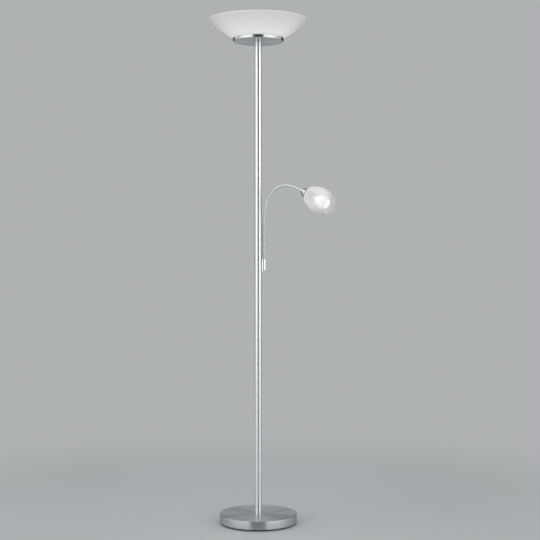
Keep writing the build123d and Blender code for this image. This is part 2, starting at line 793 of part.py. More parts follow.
# arm tube with a groove that is only as long as the swivel's travel
with BuildPart() as arm_tube:
    arm_center = level(arm_seat_height, x=arm_offset)
    extrude(ring(arm_diameter, arm_bore, arm_center), amount=arm_tube_top - arm_seat_height)
    groove_root = arm_radius - stop_groove_depth
    screw_half_angle = math.degrees(math.asin(stop_screw_diameter / 2 / groove_root))
    groove_arc = arm_swivel_high - arm_swivel_low + 2 * (screw_half_angle + stop_margin)
    groove_start = 90 - arm_swivel_high - screw_half_angle - stop_margin
    start_angle = math.radians(groove_start)
    groove_plane = Plane(
        origin=(arm_offset, 0, stop_height),
        x_dir=(math.cos(start_angle), math.sin(start_angle), 0),
        z_dir=(math.sin(start_angle), -math.cos(start_angle), 0),
    )
    groove_face = outline(
        [
            (groove_root, -stop_groove_width / 2),
            (arm_radius + slot_gap, -stop_groove_width / 2),
            (arm_radius + slot_gap, stop_groove_width / 2),
            (groove_root, stop_groove_width / 2),
        ],
        groove_plane,
    )
    revolve(
        groove_face,
        axis=Axis((arm_offset, 0, 0), (0, 0, 1)),
        revolution_arc=groove_arc,
        mode=Mode.SUBTRACT,
    )
save(arm_tube, "arm_tube")

# ferrule: a spigot in the tube, a turned groove and a body that grips the neck
with BuildPart() as arm_ferrule:
    groove_top = arm_tube_top + ferrule_groove_height
    neck_pocket = neck_start_height - neck_embedded_length - part_gap
    tube_end = level(arm_tube_top, x=arm_offset)
    extrude(ring(arm_bore - 2 * thread_gap, neck_bore, tube_end), amount=-ferrule_spigot_length)
    extrude(ring(ferrule_groove_diameter, neck_bore, tube_end), amount=ferrule_groove_height)
    extrude(ring(arm_diameter, neck_bore, level(groove_top, x=arm_offset)), amount=ferrule_top - groove_top)
    pocket = ring(neck_diameter + 2 * thread_gap, 0, level(neck_pocket, x=arm_offset))
    extrude(pocket, amount=ferrule_top - neck_pocket, mode=Mode.SUBTRACT)
    top_edges = arm_ferrule.edges().filter_by(GeomType.CIRCLE).group_by(Axis.Z)[-1]
    chamfer(top_edges.sort_by(SortBy.RADIUS)[-1], length=ferrule_edge)
save(arm_ferrule, "arm_ferrule")

# ---------------------------------------------------------------- flexible neck


def across_neck(index, distance):
    """Plane across the neck at a distance along one of its sections."""
    start, bend = neck_stations[index], neck_bends[index]
    return square_to_neck(along_section(start, bend, section_length(index), distance))


def rib_circles(index, start, end):
    """Circles of one section: each rib goes out, along its crest, in and along the root."""
    rib_count = max(1, round((end - start) / neck_rib_pitch))
    pitch = (end - start) / rib_count
    circles = []
    for rib in range(rib_count):
        for share, diameter in (
            (0.0, neck_root_diameter),
            (rib_root_share, neck_root_diameter),
            (rib_root_share + rib_slope_share, neck_diameter),
            (1.0 - rib_slope_share, neck_diameter),
        ):
            circles.append(ring(diameter, 0, across_neck(index, start + (rib + share) * pitch)))
    circles.append(ring(neck_root_diameter, 0, across_neck(index, end)))
    return circles


def along_plane(place_plane):
    """Turn a plane across the neck so that its x axis runs along the neck."""
    return Plane(origin=place_plane.origin, x_dir=place_plane.z_dir, z_dir=arm_plane.z_dir)


def dome(place_plane):
    """Half of the round knuckle at a section's front end, with the bore through it."""
    radius = neck_root_diameter / 2
    lip = math.sqrt(radius**2 - (neck_bore / 2) ** 2)
    middle = (math.pi / 2 + math.asin(neck_bore / 2 / radius)) / 2
    with BuildSketch(along_plane(place_plane)) as section:
        with BuildLine():
            Line((0, neck_bore / 2), (0, radius))
            ThreePointArc(
                (0, radius),
                (radius * math.cos(middle), radius * math.sin(middle)),
                (lip, neck_bore / 2),
            )
            Line((lip, neck_bore / 2), (0, neck_bore / 2))
        make_face()
    return section.sketch


def sleeve(place_plane):
    """The plain sleeve at a section's back end, hollowed to turn on the knuckle."""
    socket = neck_root_diameter / 2 + knuckle_gap
    reach = math.sqrt(socket**2 - (neck_bore / 2) ** 2)
    lip_height = math.sqrt(socket**2 - knuckle_lip**2)
    middle = (reach + knuckle_lip) / 2
    with BuildSketch(along_plane(place_plane)) as section:
        with BuildLine():
            Polyline(
                (knuckle_lip, lip_height),
                (knuckle_lip, neck_diameter / 2),
                (sleeve_length, neck_diameter / 2),
                (sleeve_length, neck_bore / 2),
                (reach, neck_bore / 2),
            )
            ThreePointArc(
                (reach, neck_bore / 2),
                (middle, math.sqrt(socket**2 - middle**2)),
                (knuckle_lip, lip_height),
            )
        make_face()
    return section.sketch


for index in range(len(neck_bends)):
    length = section_length(index)
    back = square_to_neck(neck_stations[index])
    front = square_to_neck(neck_stations[index + 1])
    with BuildPart() as neck_section:
        loft(rib_circles(index, sleeve_length, length), ruled=True)
        bore_pitch = (length - sleeve_length) / neck_bore_steps
        bore_places = [sleeve_length + bore_pitch * step for step in range(neck_bore_steps + 1)]
        bore_circles = [ring(neck_bore, 0, across_neck(index, place)) for place in bore_places]
        loft(bore_circles, ruled=True, mode=Mode.SUBTRACT)
        if index == 0:
            plain_end = ring(neck_root_diameter, neck_bore, back.offset(sleeve_length))
            extrude(plain_end, amount=-sleeve_length - neck_embedded_length)
        else:
            revolve(sleeve(back), axis=Axis(back.origin, back.z_dir))
        if index < len(neck_bends) - 1:
            revolve(dome(front), axis=Axis(front.origin, front.z_dir))
    save(neck_section, f"neck_section_{index + 1}")

# ---------------------------------------------------------------- reading head

# bell-shaped cup: a collar on the neck, a boss for the stud and a flared skirt
with BuildPart() as head_cup:
    collar_bore = neck_diameter / 2 + thread_gap
    collar_front = cup_back + cup_collar_length
    boss_front = part_gap + cup_boss_length
    with BuildSketch(head_section) as cup_profile:
        with BuildLine():
            Polyline(
                (part_gap, collar_bore),
                (cup_back, collar_bore),
                (cup_back, cup_small_diameter / 2),
                (collar_front, cup_small_diameter / 2),
                (cup_front, cup_diameter / 2),
                (cup_front, cup_diameter / 2 - cup_wall),
                (boss_front, cup_boss_diameter / 2),
                (boss_front, head_stud_diameter / 2 + thread_gap),
                (part_gap, head_stud_diameter / 2 + thread_gap),
                close=True,
            )
        make_face()
    revolve(axis=head_axis)
save(head_cup, "head_cup")

# hollow stud that carries the lampholder
with BuildPart() as head_stud:
    extrude(ring(head_stud_diameter, head_stud_bore, head_end.offset(part_gap)), amount=head_stud_length)
save(head_stud, "head_stud")

# lampholder with a shoulder that the shade is clamped against
with BuildPart() as lampholder:
    cap_start = bulb_center + bulb_diameter / 2 - bulb_length
    holder_radius = holder_diameter / 2
    shoulder_radius = holder_shoulder_diameter / 2
    shoulder_back = holder_shoulder_front - holder_shoulder_thickness
    stud_hole = head_stud_diameter / 2 + thread_gap
    stud_end = part_gap + head_stud_length + part_gap
    revolve(
        outline(
            [
                (holder_back, stud_hole),
                (holder_back, holder_radius - cup_wall),
                (holder_back + 2 * cup_wall, holder_radius),
                (shoulder_back, holder_radius),
                (shoulder_back, shoulder_radius),
                (holder_shoulder_front, shoulder_radius),
                (holder_shoulder_front, holder_radius),
                (holder_front, holder_radius),
                (holder_front, holder_bore / 2),
                (cap_start - part_gap, holder_bore / 2),
                (cap_start - part_gap, holder_wire_bore / 2),
                (stud_end, holder_wire_bore / 2),
                (stud_end, stud_hole),
            ],
            head_section,
        ),
        axis=head_axis,
    )
save(lampholder, "lampholder")

# ring that screws on the lampholder and holds the shade
with BuildPart() as shade_ring:
    ring_back = holder_shoulder_front + shade_glass
    extrude(
        ring(shade_ring_diameter, holder_diameter + 2 * thread_gap, head_end.offset(ring_back)),
        amount=shade_ring_height,
    )
save(shade_ring, "shade_ring")

# egg-shaped glass shade, open at the front
with BuildPart() as reading_shade:
    back_angle = math.radians(shade_back_slope)
    mouth_angle = math.radians(shade_mouth_slope)
    widest = holder_shoulder_front + shade_widest_place
    with BuildSketch(head_section) as shade_profile:
        with BuildLine():
            back_line = Line(
                (holder_shoulder_front, shade_hole_diameter / 2),
                (holder_shoulder_front, shade_back_diameter / 2),
            )
            outside = Spline(
                back_line @ 1,
                (holder_shoulder_front + shade_side_place, shade_side_diameter / 2),
                (widest, shade_diameter / 2),
                (shade_front, shade_mouth_diameter / 2),
                tangents=[
                    (math.cos(back_angle), math.sin(back_angle)),
                    (math.cos(mouth_angle), math.sin(mouth_angle)),
                ],
            )
            inside = Spline(*beside(outside, -shade_glass), tangents=[outside % 0, outside % 1])
            Line(outside @ 1, inside @ 1)
            inner_face = holder_shoulder_front + shade_glass
            Polyline(inside @ 0, (inner_face, shade_hole_diameter / 2), back_line @ 0)
        make_face()
        fillet(shade_profile.vertices().sort_by(Axis.X)[-2:], radius=shade_rim_radius)
    revolve(axis=head_axis)
save(reading_shade, "reading_shade")

# round bulb: a blown glass globe whose neck is set in the cap
with BuildPart() as bulb_globe:
    cap_start = bulb_center + bulb_diameter / 2 - bulb_length
    cap_end = cap_start + bulb_cap_length
    globe_radius = bulb_diameter / 2
    globe_inside = globe_radius - bulb_glass
    neck_start = cap_end + part_gap
    lean = math.radians(bulb_neck_lean)
    with BuildSketch(head_section) as globe_profile:
        with BuildLine():
            throat = (
                bulb_center + globe_radius * math.cos(lean),
                globe_radius * math.sin(lean),
            )
            inner_throat = (
                bulb_center + globe_inside * math.cos(lean),
                globe_inside * math.sin(lean),
            )
            ThreePointArc(throat, (bulb_center, globe_radius), (bulb_center + globe_radius, 0))
            Line((bulb_center + globe_radius, 0), (bulb_center + globe_inside, 0))
            ThreePointArc((bulb_center + globe_inside, 0), (bulb_center, globe_inside), inner_throat)
            Polyline(
                inner_throat,
                (neck_start, bulb_neck_diameter / 2 - bulb_glass),
                (neck_start, bulb_neck_diameter / 2),
                throat,
            )
        make_face()
    revolve(axis=head_axis)
save(bulb_globe, "bulb_globe")

# screw cap of the bulb, with a flared rim that holds the glass and a contact at its tip
with BuildPart() as bulb_cap:
    tip_height = bulb_cap_diameter / 4
    revolve(
        outline(
            [
                (cap_start, 0),
                (cap_start, bulb_cap_diameter / 4),
                (cap_start + tip_height, bulb_cap_diameter / 2),
                (cap_end - bulb_rim_height, bulb_cap_diameter / 2),
                (cap_end, bulb_neck_diameter / 2),
                (cap_end, 0),
            ],
            head_section,
        ),
        axis=head_axis,
    )
save(bulb_cap, "bulb_cap")

# ---------------------------------------------------------------- joint places


def metres(vector):
    """A place or direction in metres, rounded for reading."""
    return [round(value / 1000, 6) for value in vector]


print("neck hinge axis", [round(value, 6) for value in arm_plane.z_dir])
for number, place in enumerate(neck_stations[1:-1], start=1):
    print(f"neck joint {number}", metres(square_to_neck(place).origin))
print("neck end", metres(head_end.origin), "head direction", [round(value, 6) for value in head_end.z_dir])
for name, height in zip(("toggle_lower", "toggle_upper"), switch_heights):
    print(name, metres((toggle_pivot_x, 0, height)))
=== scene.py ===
# %% [markdown]
# # A floor lamp with a reading light
# A torchiere lamp: a heavy round base, a tall nickel-plated pole, a glass bowl that throws its
# light up, and a small reading light on a flexible neck. The CAD model gives every place and
# size, and this script gives the parts their finish. It is written in small steps, each with a
# note on what is made and why it is made that way.

# %% Load the frame
import math

import bmesh
import bpy
import numpy as np
from mathutils import Matrix, Vector


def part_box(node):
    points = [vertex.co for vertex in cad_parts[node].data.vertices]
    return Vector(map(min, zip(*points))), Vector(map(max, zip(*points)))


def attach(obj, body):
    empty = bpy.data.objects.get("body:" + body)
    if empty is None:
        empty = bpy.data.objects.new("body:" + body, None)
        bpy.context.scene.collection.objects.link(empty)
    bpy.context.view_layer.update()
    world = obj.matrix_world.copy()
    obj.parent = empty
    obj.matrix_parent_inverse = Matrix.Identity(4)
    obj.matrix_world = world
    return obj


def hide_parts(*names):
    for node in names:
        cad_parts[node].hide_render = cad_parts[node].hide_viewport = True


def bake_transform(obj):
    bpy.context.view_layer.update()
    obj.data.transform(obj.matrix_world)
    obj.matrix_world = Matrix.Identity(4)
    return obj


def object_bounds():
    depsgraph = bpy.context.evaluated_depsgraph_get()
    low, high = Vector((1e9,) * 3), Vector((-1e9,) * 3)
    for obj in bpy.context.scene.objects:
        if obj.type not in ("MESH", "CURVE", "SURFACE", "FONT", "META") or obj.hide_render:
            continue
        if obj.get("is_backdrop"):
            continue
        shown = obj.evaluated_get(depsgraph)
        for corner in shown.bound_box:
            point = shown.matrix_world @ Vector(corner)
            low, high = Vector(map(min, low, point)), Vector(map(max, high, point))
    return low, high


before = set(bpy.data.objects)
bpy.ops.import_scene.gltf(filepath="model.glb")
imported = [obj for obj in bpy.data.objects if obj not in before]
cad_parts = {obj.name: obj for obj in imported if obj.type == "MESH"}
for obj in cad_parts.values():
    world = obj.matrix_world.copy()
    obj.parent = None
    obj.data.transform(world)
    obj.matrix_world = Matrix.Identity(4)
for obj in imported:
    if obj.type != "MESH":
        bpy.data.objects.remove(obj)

MM = 0.001
cad_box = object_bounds()
print("nodes", len(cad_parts), "height", round(cad_box[1].z, 4), "m")

# %% [markdown]
# ## Helpers
# Materials, lamps and pieces are all built from nodes. One helper makes a node with its settings
# and its inputs. An input is either a plain value or another node's output, which is linked.
# Groups of nodes are made by one helper too, for shaders as well as for geometry.


# %% Nodes, groups and objects
def set_inputs(node, inputs):
    """Set a node's inputs: another node's output is linked, and anything else is a value."""
    for label, value in inputs.items():
        if isinstance(value, bpy.types.NodeSocket):
            node.id_data.links.new(value, node.inputs[label])
        else:
            node.inputs[label].default_value = value


def add_node(tree, kind, inputs=None, **settings):
    """A new node in a tree, with its settings and then its inputs."""
    node = tree.nodes.new(kind)
    for name, value in settings.items():
        setattr(node, name, value)
    set_inputs(node, inputs or {})
    return node


def math_node(operation, *values):
    """The output of a math node on outputs and numbers, in the tree that the outputs are in."""
    tree = [value.id_data for value in values if isinstance(value, bpy.types.NodeSocket)][0]
    return add_node(tree, "ShaderNodeMath", dict(enumerate(values)), operation=operation).outputs[0]


def parts_of(vector):
    """The X, Y and Z of a vector."""
    return add_node(vector.id_data, "ShaderNodeSeparateXYZ", {0: vector}).outputs


def length_of(vector):
    """The length of a vector."""
    return add_node(vector.id_data, "ShaderNodeVectorMath", {0: vector}, operation="LENGTH").outputs["Value"]


def fade(value, start, end, first, last, kind="SMOOTHSTEP"):
    """A value that goes from first to last while another goes from start to end."""
    inputs = {"Value": value, "From Min": start, "From Max": end, "To Min": first, "To Max": last}
    return add_node(value.id_data, "ShaderNodeMapRange", inputs, interpolation_type=kind).outputs["Result"]


def two_tones(share, first, second):
    """A colour between two tones, at a share."""
    tones = {0: share, 6: (*first, 1), 7: (*second, 1)}
    return add_node(share.id_data, "ShaderNodeMix", tones, data_type="RGBA").outputs[2]


def new_group(name, kind, inputs, outputs):
    """An empty node group: inputs are (name, kind, usual value) and outputs are (name, kind)."""
    group = bpy.data.node_groups.new(name, kind)
    for label, socket_kind, value in inputs:
        socket = group.interface.new_socket(label, in_out="INPUT", socket_type="NodeSocket" + socket_kind)
        if value is not None:
            socket.default_value = value
    for label, socket_kind in outputs:
        group.interface.new_socket(label, in_out="OUTPUT", socket_type="NodeSocket" + socket_kind)
    return group, add_node(group, "NodeGroupInput").outputs, add_node(group, "NodeGroupOutput")


def new_material(name):
    """A material with its node tree and its shader."""
    material = bpy.data.materials.new(name)
    material.use_nodes = True
    return material, material.node_tree, material.node_tree.nodes["Principled BSDF"]


def new_object(name, data):
    """An object in the scene."""
    obj = bpy.data.objects.new(name, data)
    bpy.context.scene.collection.objects.link(obj)
    return obj


def flat_sheet(name, corners, material):
    """A flat mesh of one face."""
    mesh = bpy.data.meshes.new(name)
    mesh.from_pydata([(x, y, 0) for x, y in corners], [], [range(len(corners))])
    mesh.materials.append(material)
    return mesh


# %% [markdown]
# ## Camera
# A long lens from a little over four metres away, at the height of the middle of the lamp, looks
# at the pole square on. It is tipped down by only half a degree, and a small lens shift does the
# rest, so the upright pole stays straight. The base is seen from a little above and the bowl from
# a little below.

# %% Camera
camera_place = Vector((0.0419, -4.25, 0.989))
camera_tip = math.radians(0.60)
camera_data = bpy.data.cameras.new("studio_camera")
camera_data.sensor_fit = "HORIZONTAL"
camera_data.angle = math.radians(25.6)
camera_data.shift_y = -0.02
camera = new_object("studio_camera", camera_data)
camera.location = camera_place
camera.rotation_euler = (math.pi / 2 - camera_tip, 0, 0)
bpy.context.scene.camera = camera
print("lens", round(camera_data.lens, 1), "mm")

# %% [markdown]
# ## Studio
# Plated metal has no look of its own: it shows the room. Product photographs of lamps use a long
# soft light at each side and leave it dark between them, behind the camera. The pole then shows
# two bright stripes with a dark one between. The same is done here. The background is pale for
# the camera, for reflections and through glass, and has a tone of its own for the light it gives.

# %% World
background_tone = (0.43, 0.442, 0.45, 1.0)
fill_tone = (0.44, 0.45, 0.46, 1.0)


def seen_rays(tree):
    """1 for the camera's rays, for reflections and through glass, and 0 for the light itself."""
    rays = add_node(tree, "ShaderNodeLightPath").outputs
    direct = math_node("MAXIMUM", rays["Is Camera Ray"], rays["Is Glossy Ray"])
    return math_node("MAXIMUM", direct, rays["Is Transmission Ray"])


world = bpy.data.worlds.new("studio_world")
bpy.context.scene.world = world
world.use_nodes = True
world_tree = world.node_tree
world_tree.nodes.clear()
fill = add_node(world_tree, "ShaderNodeBackground", {"Color": fill_tone}).outputs[0]
pale = add_node(world_tree, "ShaderNodeBackground", {"Color": background_tone}).outputs[0]
choose = add_node(world_tree, "ShaderNodeMixShader", {0: seen_rays(world_tree), 1: fill, 2: pale})
add_node(world_tree, "ShaderNodeOutputWorld", {"Surface": choose.outputs[0]})
print("world", world.name)

# %% [markdown]
# ## Lamps and screens
# A tall lamp stands at each side of the pole. It is bright at its end near the camera and fades
# towards the other end, so the stripes that it draws on the metal have one hard and one soft
# edge. A rim light behind the lamp lifts the cup, a front light fills the faces that look at the
# camera, and a square light overhead gives the floor its soft shadow. Dark screens stand in
# front and behind. Only reflections see them, and they draw the dark lines in the metal.

# %% Soft lamps
side_bearing, side_half_angle = 76.5, 52
side_distance, side_height, side_floor_gap, side_brightness = 3.0, 3.9, 0.05, 1.3
bright_until, dim_from, dim_share = 0.38, 0.72, 0.25
overhead_width, overhead_height, overhead_watts = 2.6, 3.7, 22.0


def place_upright(obj, bearing, distance, height):
    """Stand an object at a bearing round the pole from the camera's side, facing the pole."""
    turn = math.radians(bearing)
    obj.location = Vector((math.sin(turn), -math.cos(turn), 0)) * distance + Vector((0, 0, height))
    obj.rotation_euler = (math.pi / 2, 0, turn)


def area_lamp(name, size, watts):
    """A rectangular lamp that the camera doesn't see."""
    area = bpy.data.lights.new(name, "AREA")
    area.shape = "RECTANGLE"
    area.size, area.size_y = size
    area.energy = watts
    lamp = new_object(name, area)
    lamp.visible_camera = False
    return lamp


def soft_lamp(name, bearing, distance, height, size, brightness):
    """An upright area lamp that faces the pole."""
    lamp = area_lamp(name, size, brightness * math.pi * size[0] * size[1])
    place_upright(lamp, bearing, distance, height)
    return lamp


def grade(lamp, side):
    """Dim a side lamp towards its end away from the camera."""
    lamp.data.use_nodes = True
    tree = lamp.data.node_tree
    near, far = (bright_until, dim_from) if side > 0 else (1 - bright_until, 1 - dim_from)
    spot = add_node(tree, "ShaderNodeNewGeometry").outputs["Parametric"]
    set_inputs(tree.nodes["Emission"], {"Strength": fade(parts_of(spot)["X"], near, far, 1.0, dim_share)})


side_width = 2 * side_distance * math.tan(math.radians(side_half_angle))
for side in (-1, 1):
    side_lamp = soft_lamp(
        "side_light", side * side_bearing, side_distance, side_height / 2 + side_floor_gap,
        (side_width, side_height), side_brightness,
    )
    grade(side_lamp, side)
soft_lamp("rim_light", bearing=-132, distance=3.1, height=3.2, size=(2.4, 1.3), brightness=1.2)
front_lamp = soft_lamp("front_light", bearing=0, distance=4.6, height=1.9, size=(2.4, 1.6), brightness=2.8)
front_lamp.visible_glossy = False
overhead_lamp = area_lamp("overhead_light", (overhead_width, overhead_width), overhead_watts)
overhead_lamp.location = (0, 0, overhead_height)
print("side lamps", round(side_width, 2), "m wide")

# %% Dark screens
screen_material, _, screen_shader = new_material("dark_screen")
screen_shader.inputs["Base Color"].default_value = (0.07, 0.073, 0.076, 1)
screen_shader.inputs["Roughness"].default_value = 0.9


def dark_screen(bearing, distance, width, height):
    """A dark panel that only reflections see."""
    x, y = width / 2, height / 2
    sheet = flat_sheet("dark_screen", [(-x, -y), (x, -y), (x, y), (-x, y)], screen_material)
    screen = new_object("dark_screen", sheet)
    place_upright(screen, bearing, distance, height / 2)
    screen.visible_camera = False
    screen.visible_diffuse = False
    screen.visible_transmission = False
    screen.visible_shadow = False
    screen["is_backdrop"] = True


back_screen_distance, back_screen_half_angle = 3.6, 20
back_screen_width = 2 * back_screen_distance * math.tan(math.radians(back_screen_half_angle))
dark_screen(bearing=0, distance=5.2, width=4.0, height=8.0)
for side in (-1, 1):
    dark_screen(side * 146, back_screen_distance, back_screen_width, height=6.0)
print("back screens", round(back_screen_width, 2), "m wide")

# %% [markdown]
# ## Floor
# The floor is one wide flat sheet, pale and slightly uneven in tone as a painted studio floor
# is. It carries the lamp's soft shadow, and further out it fades into the background. It is part
# of the stage, not of the lamp.

# %% Floor
floor_radius, floor_sides = 80.0, 96
floor_fade_start, floor_fade_end = 0.5, 2.2

floor_paint, floor_tree, floor_shader = new_material("floor_paint")
floor_place = add_node(floor_tree, "ShaderNodeTexCoord").outputs["Object"]
cloud = add_node(floor_tree, "ShaderNodeTexNoise", {"Vector": floor_place, "Scale": 1.3}).outputs["Fac"]
floor_tone = two_tones(cloud, (0.44, 0.452, 0.46), (0.48, 0.492, 0.50))
set_inputs(floor_shader, {"Base Color": floor_tone, "Roughness": 0.55})
floor_fade = fade(length_of(floor_place), floor_fade_start, floor_fade_end, 0.0, 1.0)
far_share = math_node("MULTIPLY", floor_fade, seen_rays(floor_tree))
far_floor = add_node(floor_tree, "ShaderNodeEmission", {"Color": background_tone}).outputs[0]
blend = {0: far_share, 1: floor_shader.outputs[0], 2: far_floor}
floor_mix = add_node(floor_tree, "ShaderNodeMixShader", blend)
set_inputs(floor_tree.nodes["Material Output"], {"Surface": floor_mix.outputs[0]})

floor_turns = [step / floor_sides * 2 * math.pi for step in range(floor_sides)]
floor_corners = [(math.cos(turn) * floor_radius, math.sin(turn) * floor_radius) for turn in floor_turns]
floor = new_object("studio_floor", flat_sheet("studio_floor", floor_corners, floor_paint))
floor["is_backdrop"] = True
print("floor", floor_radius * 2, "m across")

# %% [markdown]
# ## Surface effects that finishes share
# Several finishes need the same effect at another scale, so each effect is a node group that is built once. A
# group puts out a shade from 0 to 1 and, where it has relief, a height for the bump. Turned metal gets fine
# lines that run round its axis: a noise that is stretched round the axis does that, and it has no seam. Cast,
# moulded and frosted surfaces get an even grain at two sizes. Glass gets a painted glow, an emission that is
# brightest near the lamp inside it and fades with distance; the bulb and the tube, which are lamps, take
# their own glow from the same group.


# %% Group: lines round an axis
def effect_group(name, numbers, outputs=("Shade", "Height")):
    """An empty effect: a place and numbers in, and values that change over the surface out."""
    inputs = [("Vector", "Vector", None)] + [(label, "Float", value) for label, value in numbers.items()]
    return new_group(name, "ShaderNodeTree", inputs, [(label, "Float") for label in outputs])


def noise(vector, scale, detail):
    """The shade of a noise at a place."""
    inputs = {"Vector": vector, "Scale": scale, "Detail": detail}
    return add_node(vector.id_data, "ShaderNodeTexNoise", inputs).outputs["Fac"]


turned_lines, lines_in, lines_out = effect_group("turned_lines", {"Fineness": 900.0, "Drift": 12.0})
spot = parts_of(lines_in["Vector"])
square_x = math_node("MULTIPLY", spot["X"], spot["X"])
square_y = math_node("MULTIPLY", spot["Y"], spot["Y"])
from_axis = math_node("SQRT", math_node("ADD", square_x, square_y))
across = math_node("ADD", from_axis, spot["Z"])
lines_place = {
    "X": math_node("MULTIPLY", spot["X"], lines_in["Drift"]),
    "Y": math_node("MULTIPLY", spot["Y"], lines_in["Drift"]),
    "Z": math_node("MULTIPLY", across, lines_in["Fineness"]),
}
lines_vector = add_node(turned_lines, "ShaderNodeCombineXYZ", lines_place).outputs[0]
fine_lines = noise(lines_vector, 1.0, 3.0)
set_inputs(lines_out, {"Shade": fine_lines, "Height": fine_lines})
print("group", turned_lines.name)

# %% Group: grain of cast, moulded and frosted surfaces
grain_numbers = {"Grain Size": 600.0, "Cloud Size": 20.0, "Cloud Share": 0.4}
even_grain, grain_in, grain_out = effect_group("even_grain", grain_numbers)
fine_grain = noise(grain_in["Vector"], grain_in["Grain Size"], 4.0)
wide_cloud = noise(grain_in["Vector"], grain_in["Cloud Size"], 2.0)
cloud_part = math_node("MULTIPLY", wide_cloud, grain_in["Cloud Share"])
grain_share = math_node("SUBTRACT", 1.0, grain_in["Cloud Share"])
grain_part = math_node("MULTIPLY", fine_grain, grain_share)
grain_shade = math_node("ADD", cloud_part, grain_part)
set_inputs(grain_out, {"Shade": grain_shade, "Height": fine_grain})
print("group", even_grain.name)

# %% Group: a glow brightest near a place, painted on glass and a lamp's own light on bulb and tube
glow_from, glow_in, glow_out = effect_group("glow_from", {"Near": 0.02, "Far": 0.2}, ["Shade"])
glow_shade = fade(length_of(glow_in["Vector"]), glow_in["Near"], glow_in["Far"], 1.0, 0.0)
set_inputs(glow_out, {"Shade": glow_shade})
print("group", glow_from.name)

# %% [markdown]
# ## Finishes
# Every finish is built by one function: the object's own coordinates go through a mapping, which
# centres the pattern on the piece, into one of the groups. The group's shade mixes two close
# tones for the colour and two values for the roughness, and its height drives a bump. What is
# the same all over a surface is set on the shader itself.

# %% A finish from two tones and a group
bump_depth = 0.2 * MM
pole_frame = Matrix.Identity(4)


def effect_at(tree, effect, sizes, place):
    """The outputs of an effect whose pattern is centred on a place."""
    coordinates = add_node(tree, "ShaderNodeTexCoord").outputs["Object"]
    centred = {"Vector": coordinates, "Location": place.to_translation(), "Rotation": place.to_euler()}
    mapping = add_node(tree, "ShaderNodeMapping", centred, vector_type="TEXTURE")
    inputs = {"Vector": mapping.outputs[0], **sizes}
    return add_node(tree, "ShaderNodeGroup", inputs, node_tree=effect).outputs


def finish(name, effect, sizes, tones, rough, bump=0.0, place=pole_frame, constants=None):
    """A material: tones and rough are the two ends that the effect's shade goes between."""
    material, tree, shader = new_material(name)
    pattern = effect_at(tree, effect, sizes, place)
    shade = pattern["Shade"]
    surface = {"Base Color": two_tones(shade, *tones), "Roughness": fade(shade, 0.0, 1.0, *rough, "LINEAR")}
    if bump:
        relief = {"Strength": bump, "Distance": bump_depth, "Height": pattern["Height"]}
        surface["Normal"] = add_node(tree, "ShaderNodeBump", relief).outputs["Normal"]
    set_inputs(shader, {**surface, **(constants or {})})
    return material


def turned(name, fineness, drift, tones, rough, bump=0.0, place=pole_frame, blur=0.0):
    """Metal with lines round its axis; blur is how much wider its reflections get along it."""
    sizes = {"Fineness": fineness, "Drift": drift}
    constants = {"Metallic": 1.0, "Anisotropic": blur, "Anisotropic Rotation": 0.25 if blur else 0.0}
    return finish(name, turned_lines, sizes, tones, rough, bump, place, constants)


def grained(name, grain, cloud, share, tones, rough, bump, **constants):
    """A finish with an even grain and wide clouds; constants are the shader's own values."""
    sizes = {"Grain Size": grain, "Cloud Size": cloud, "Cloud Share": share}
    labels = {label.replace("_", " "): value for label, value in constants.items()}
    return finish(name, even_grain, sizes, tones, rough, bump, constants=labels)


def glowing(material, centre, near, far, dim, bright, strength):
    """Give a finish an emission glow brightest near a place: painted glow on glass round its lamp, a lamp's
    own light on a bulb or tube.
    """
    tree = material.node_tree
    glow = effect_at(tree, glow_from, {"Near": near, "Far": far}, Matrix.Translation(centre))
    light = {"Emission Color": two_tones(glow["Shade"], dim, bright), "Emission Strength": strength}
    set_inputs(tree.nodes["Principled BSDF"], light)
    return material


# %% [markdown]
# ## Places on the arm
# The arm stands beside the pole and leans over at a turn of 36 degrees towards the camera. Its
# neck bends evenly within each section, so every place on it can be worked out from the
# sections' lengths and bends, exactly as the CAD model does it.

# %% Arm and head places
up = Vector((0, 0, 1))
arm_offset = 19.5 * MM
arm_turn = math.radians(36)
arm_out = Vector((math.cos(arm_turn), -math.sin(arm_turn), 0))
arm_side = Vector((-math.sin(arm_turn), -math.cos(arm_turn), 0))
neck_start_height = 1070 * MM
neck_bends = (9.1, 10.1, 17.1, 34.9, 29.9, 13.1, 1.0)
neck_sleeve = 5 * MM
neck_lengths = [22 * MM] + [44 * MM] * 5 + [22 * MM]
nothing_left = 1e-9


def neck_place(distance):
    """The neck's place and direction at a distance from the ferrule; it is straight before it."""
    place = Vector((arm_offset, 0, neck_start_height))
    heading = math.pi / 2
    left = distance
    if left <= 0:
        return place + up * left, up
    for length, bend in zip(neck_lengths, neck_bends):
        straight = min(left, neck_sleeve)
        place = place + (arm_out * math.cos(heading) + up * math.sin(heading)) * straight
        bent = min(left, length) - straight
        if bent > 0:
            radius = (length - neck_sleeve) / math.radians(bend)
            after = heading - bent / radius
            reach = radius * (math.sin(heading) - math.sin(after))
            rise = radius * (math.cos(after) - math.cos(heading))
            place = place + arm_out * reach + up * rise
            heading = after
        left -= length
        if left <= nothing_left:
            break
    return place, arm_out * math.cos(heading) + up * math.sin(heading)


def square_to(place, side, across, direction):
    """A matrix that puts a piece turned on +Z along a direction at a place."""
    return Matrix.Translation(place) @ Matrix((side, across, direction)).transposed().to_4x4()


neck_length = sum(neck_lengths)
head_place, head_direction = neck_place(neck_length)
head_frame = square_to(head_place, arm_side, arm_side.cross(head_direction), head_direction)
arm_frame = Matrix.Translation((arm_offset, 0, 0))
print("neck end", [round(value, 4) for value in head_place])
print("head direction", [round(value, 3) for value in head_direction])

# %% [markdown]
# ## Metal finishes
# The plating is nickel. On the pole, base and pan the metal was turned under fine abrasive, so
# its lines run round the axis: reflections stay sharp sideways and blur up and down. That is
# what anisotropy does in the shader, turned by a quarter. The arm tube and its ferrule are
# brushed to a flat satin that shows no stripes. The bracket, the levers and the cup are polished.

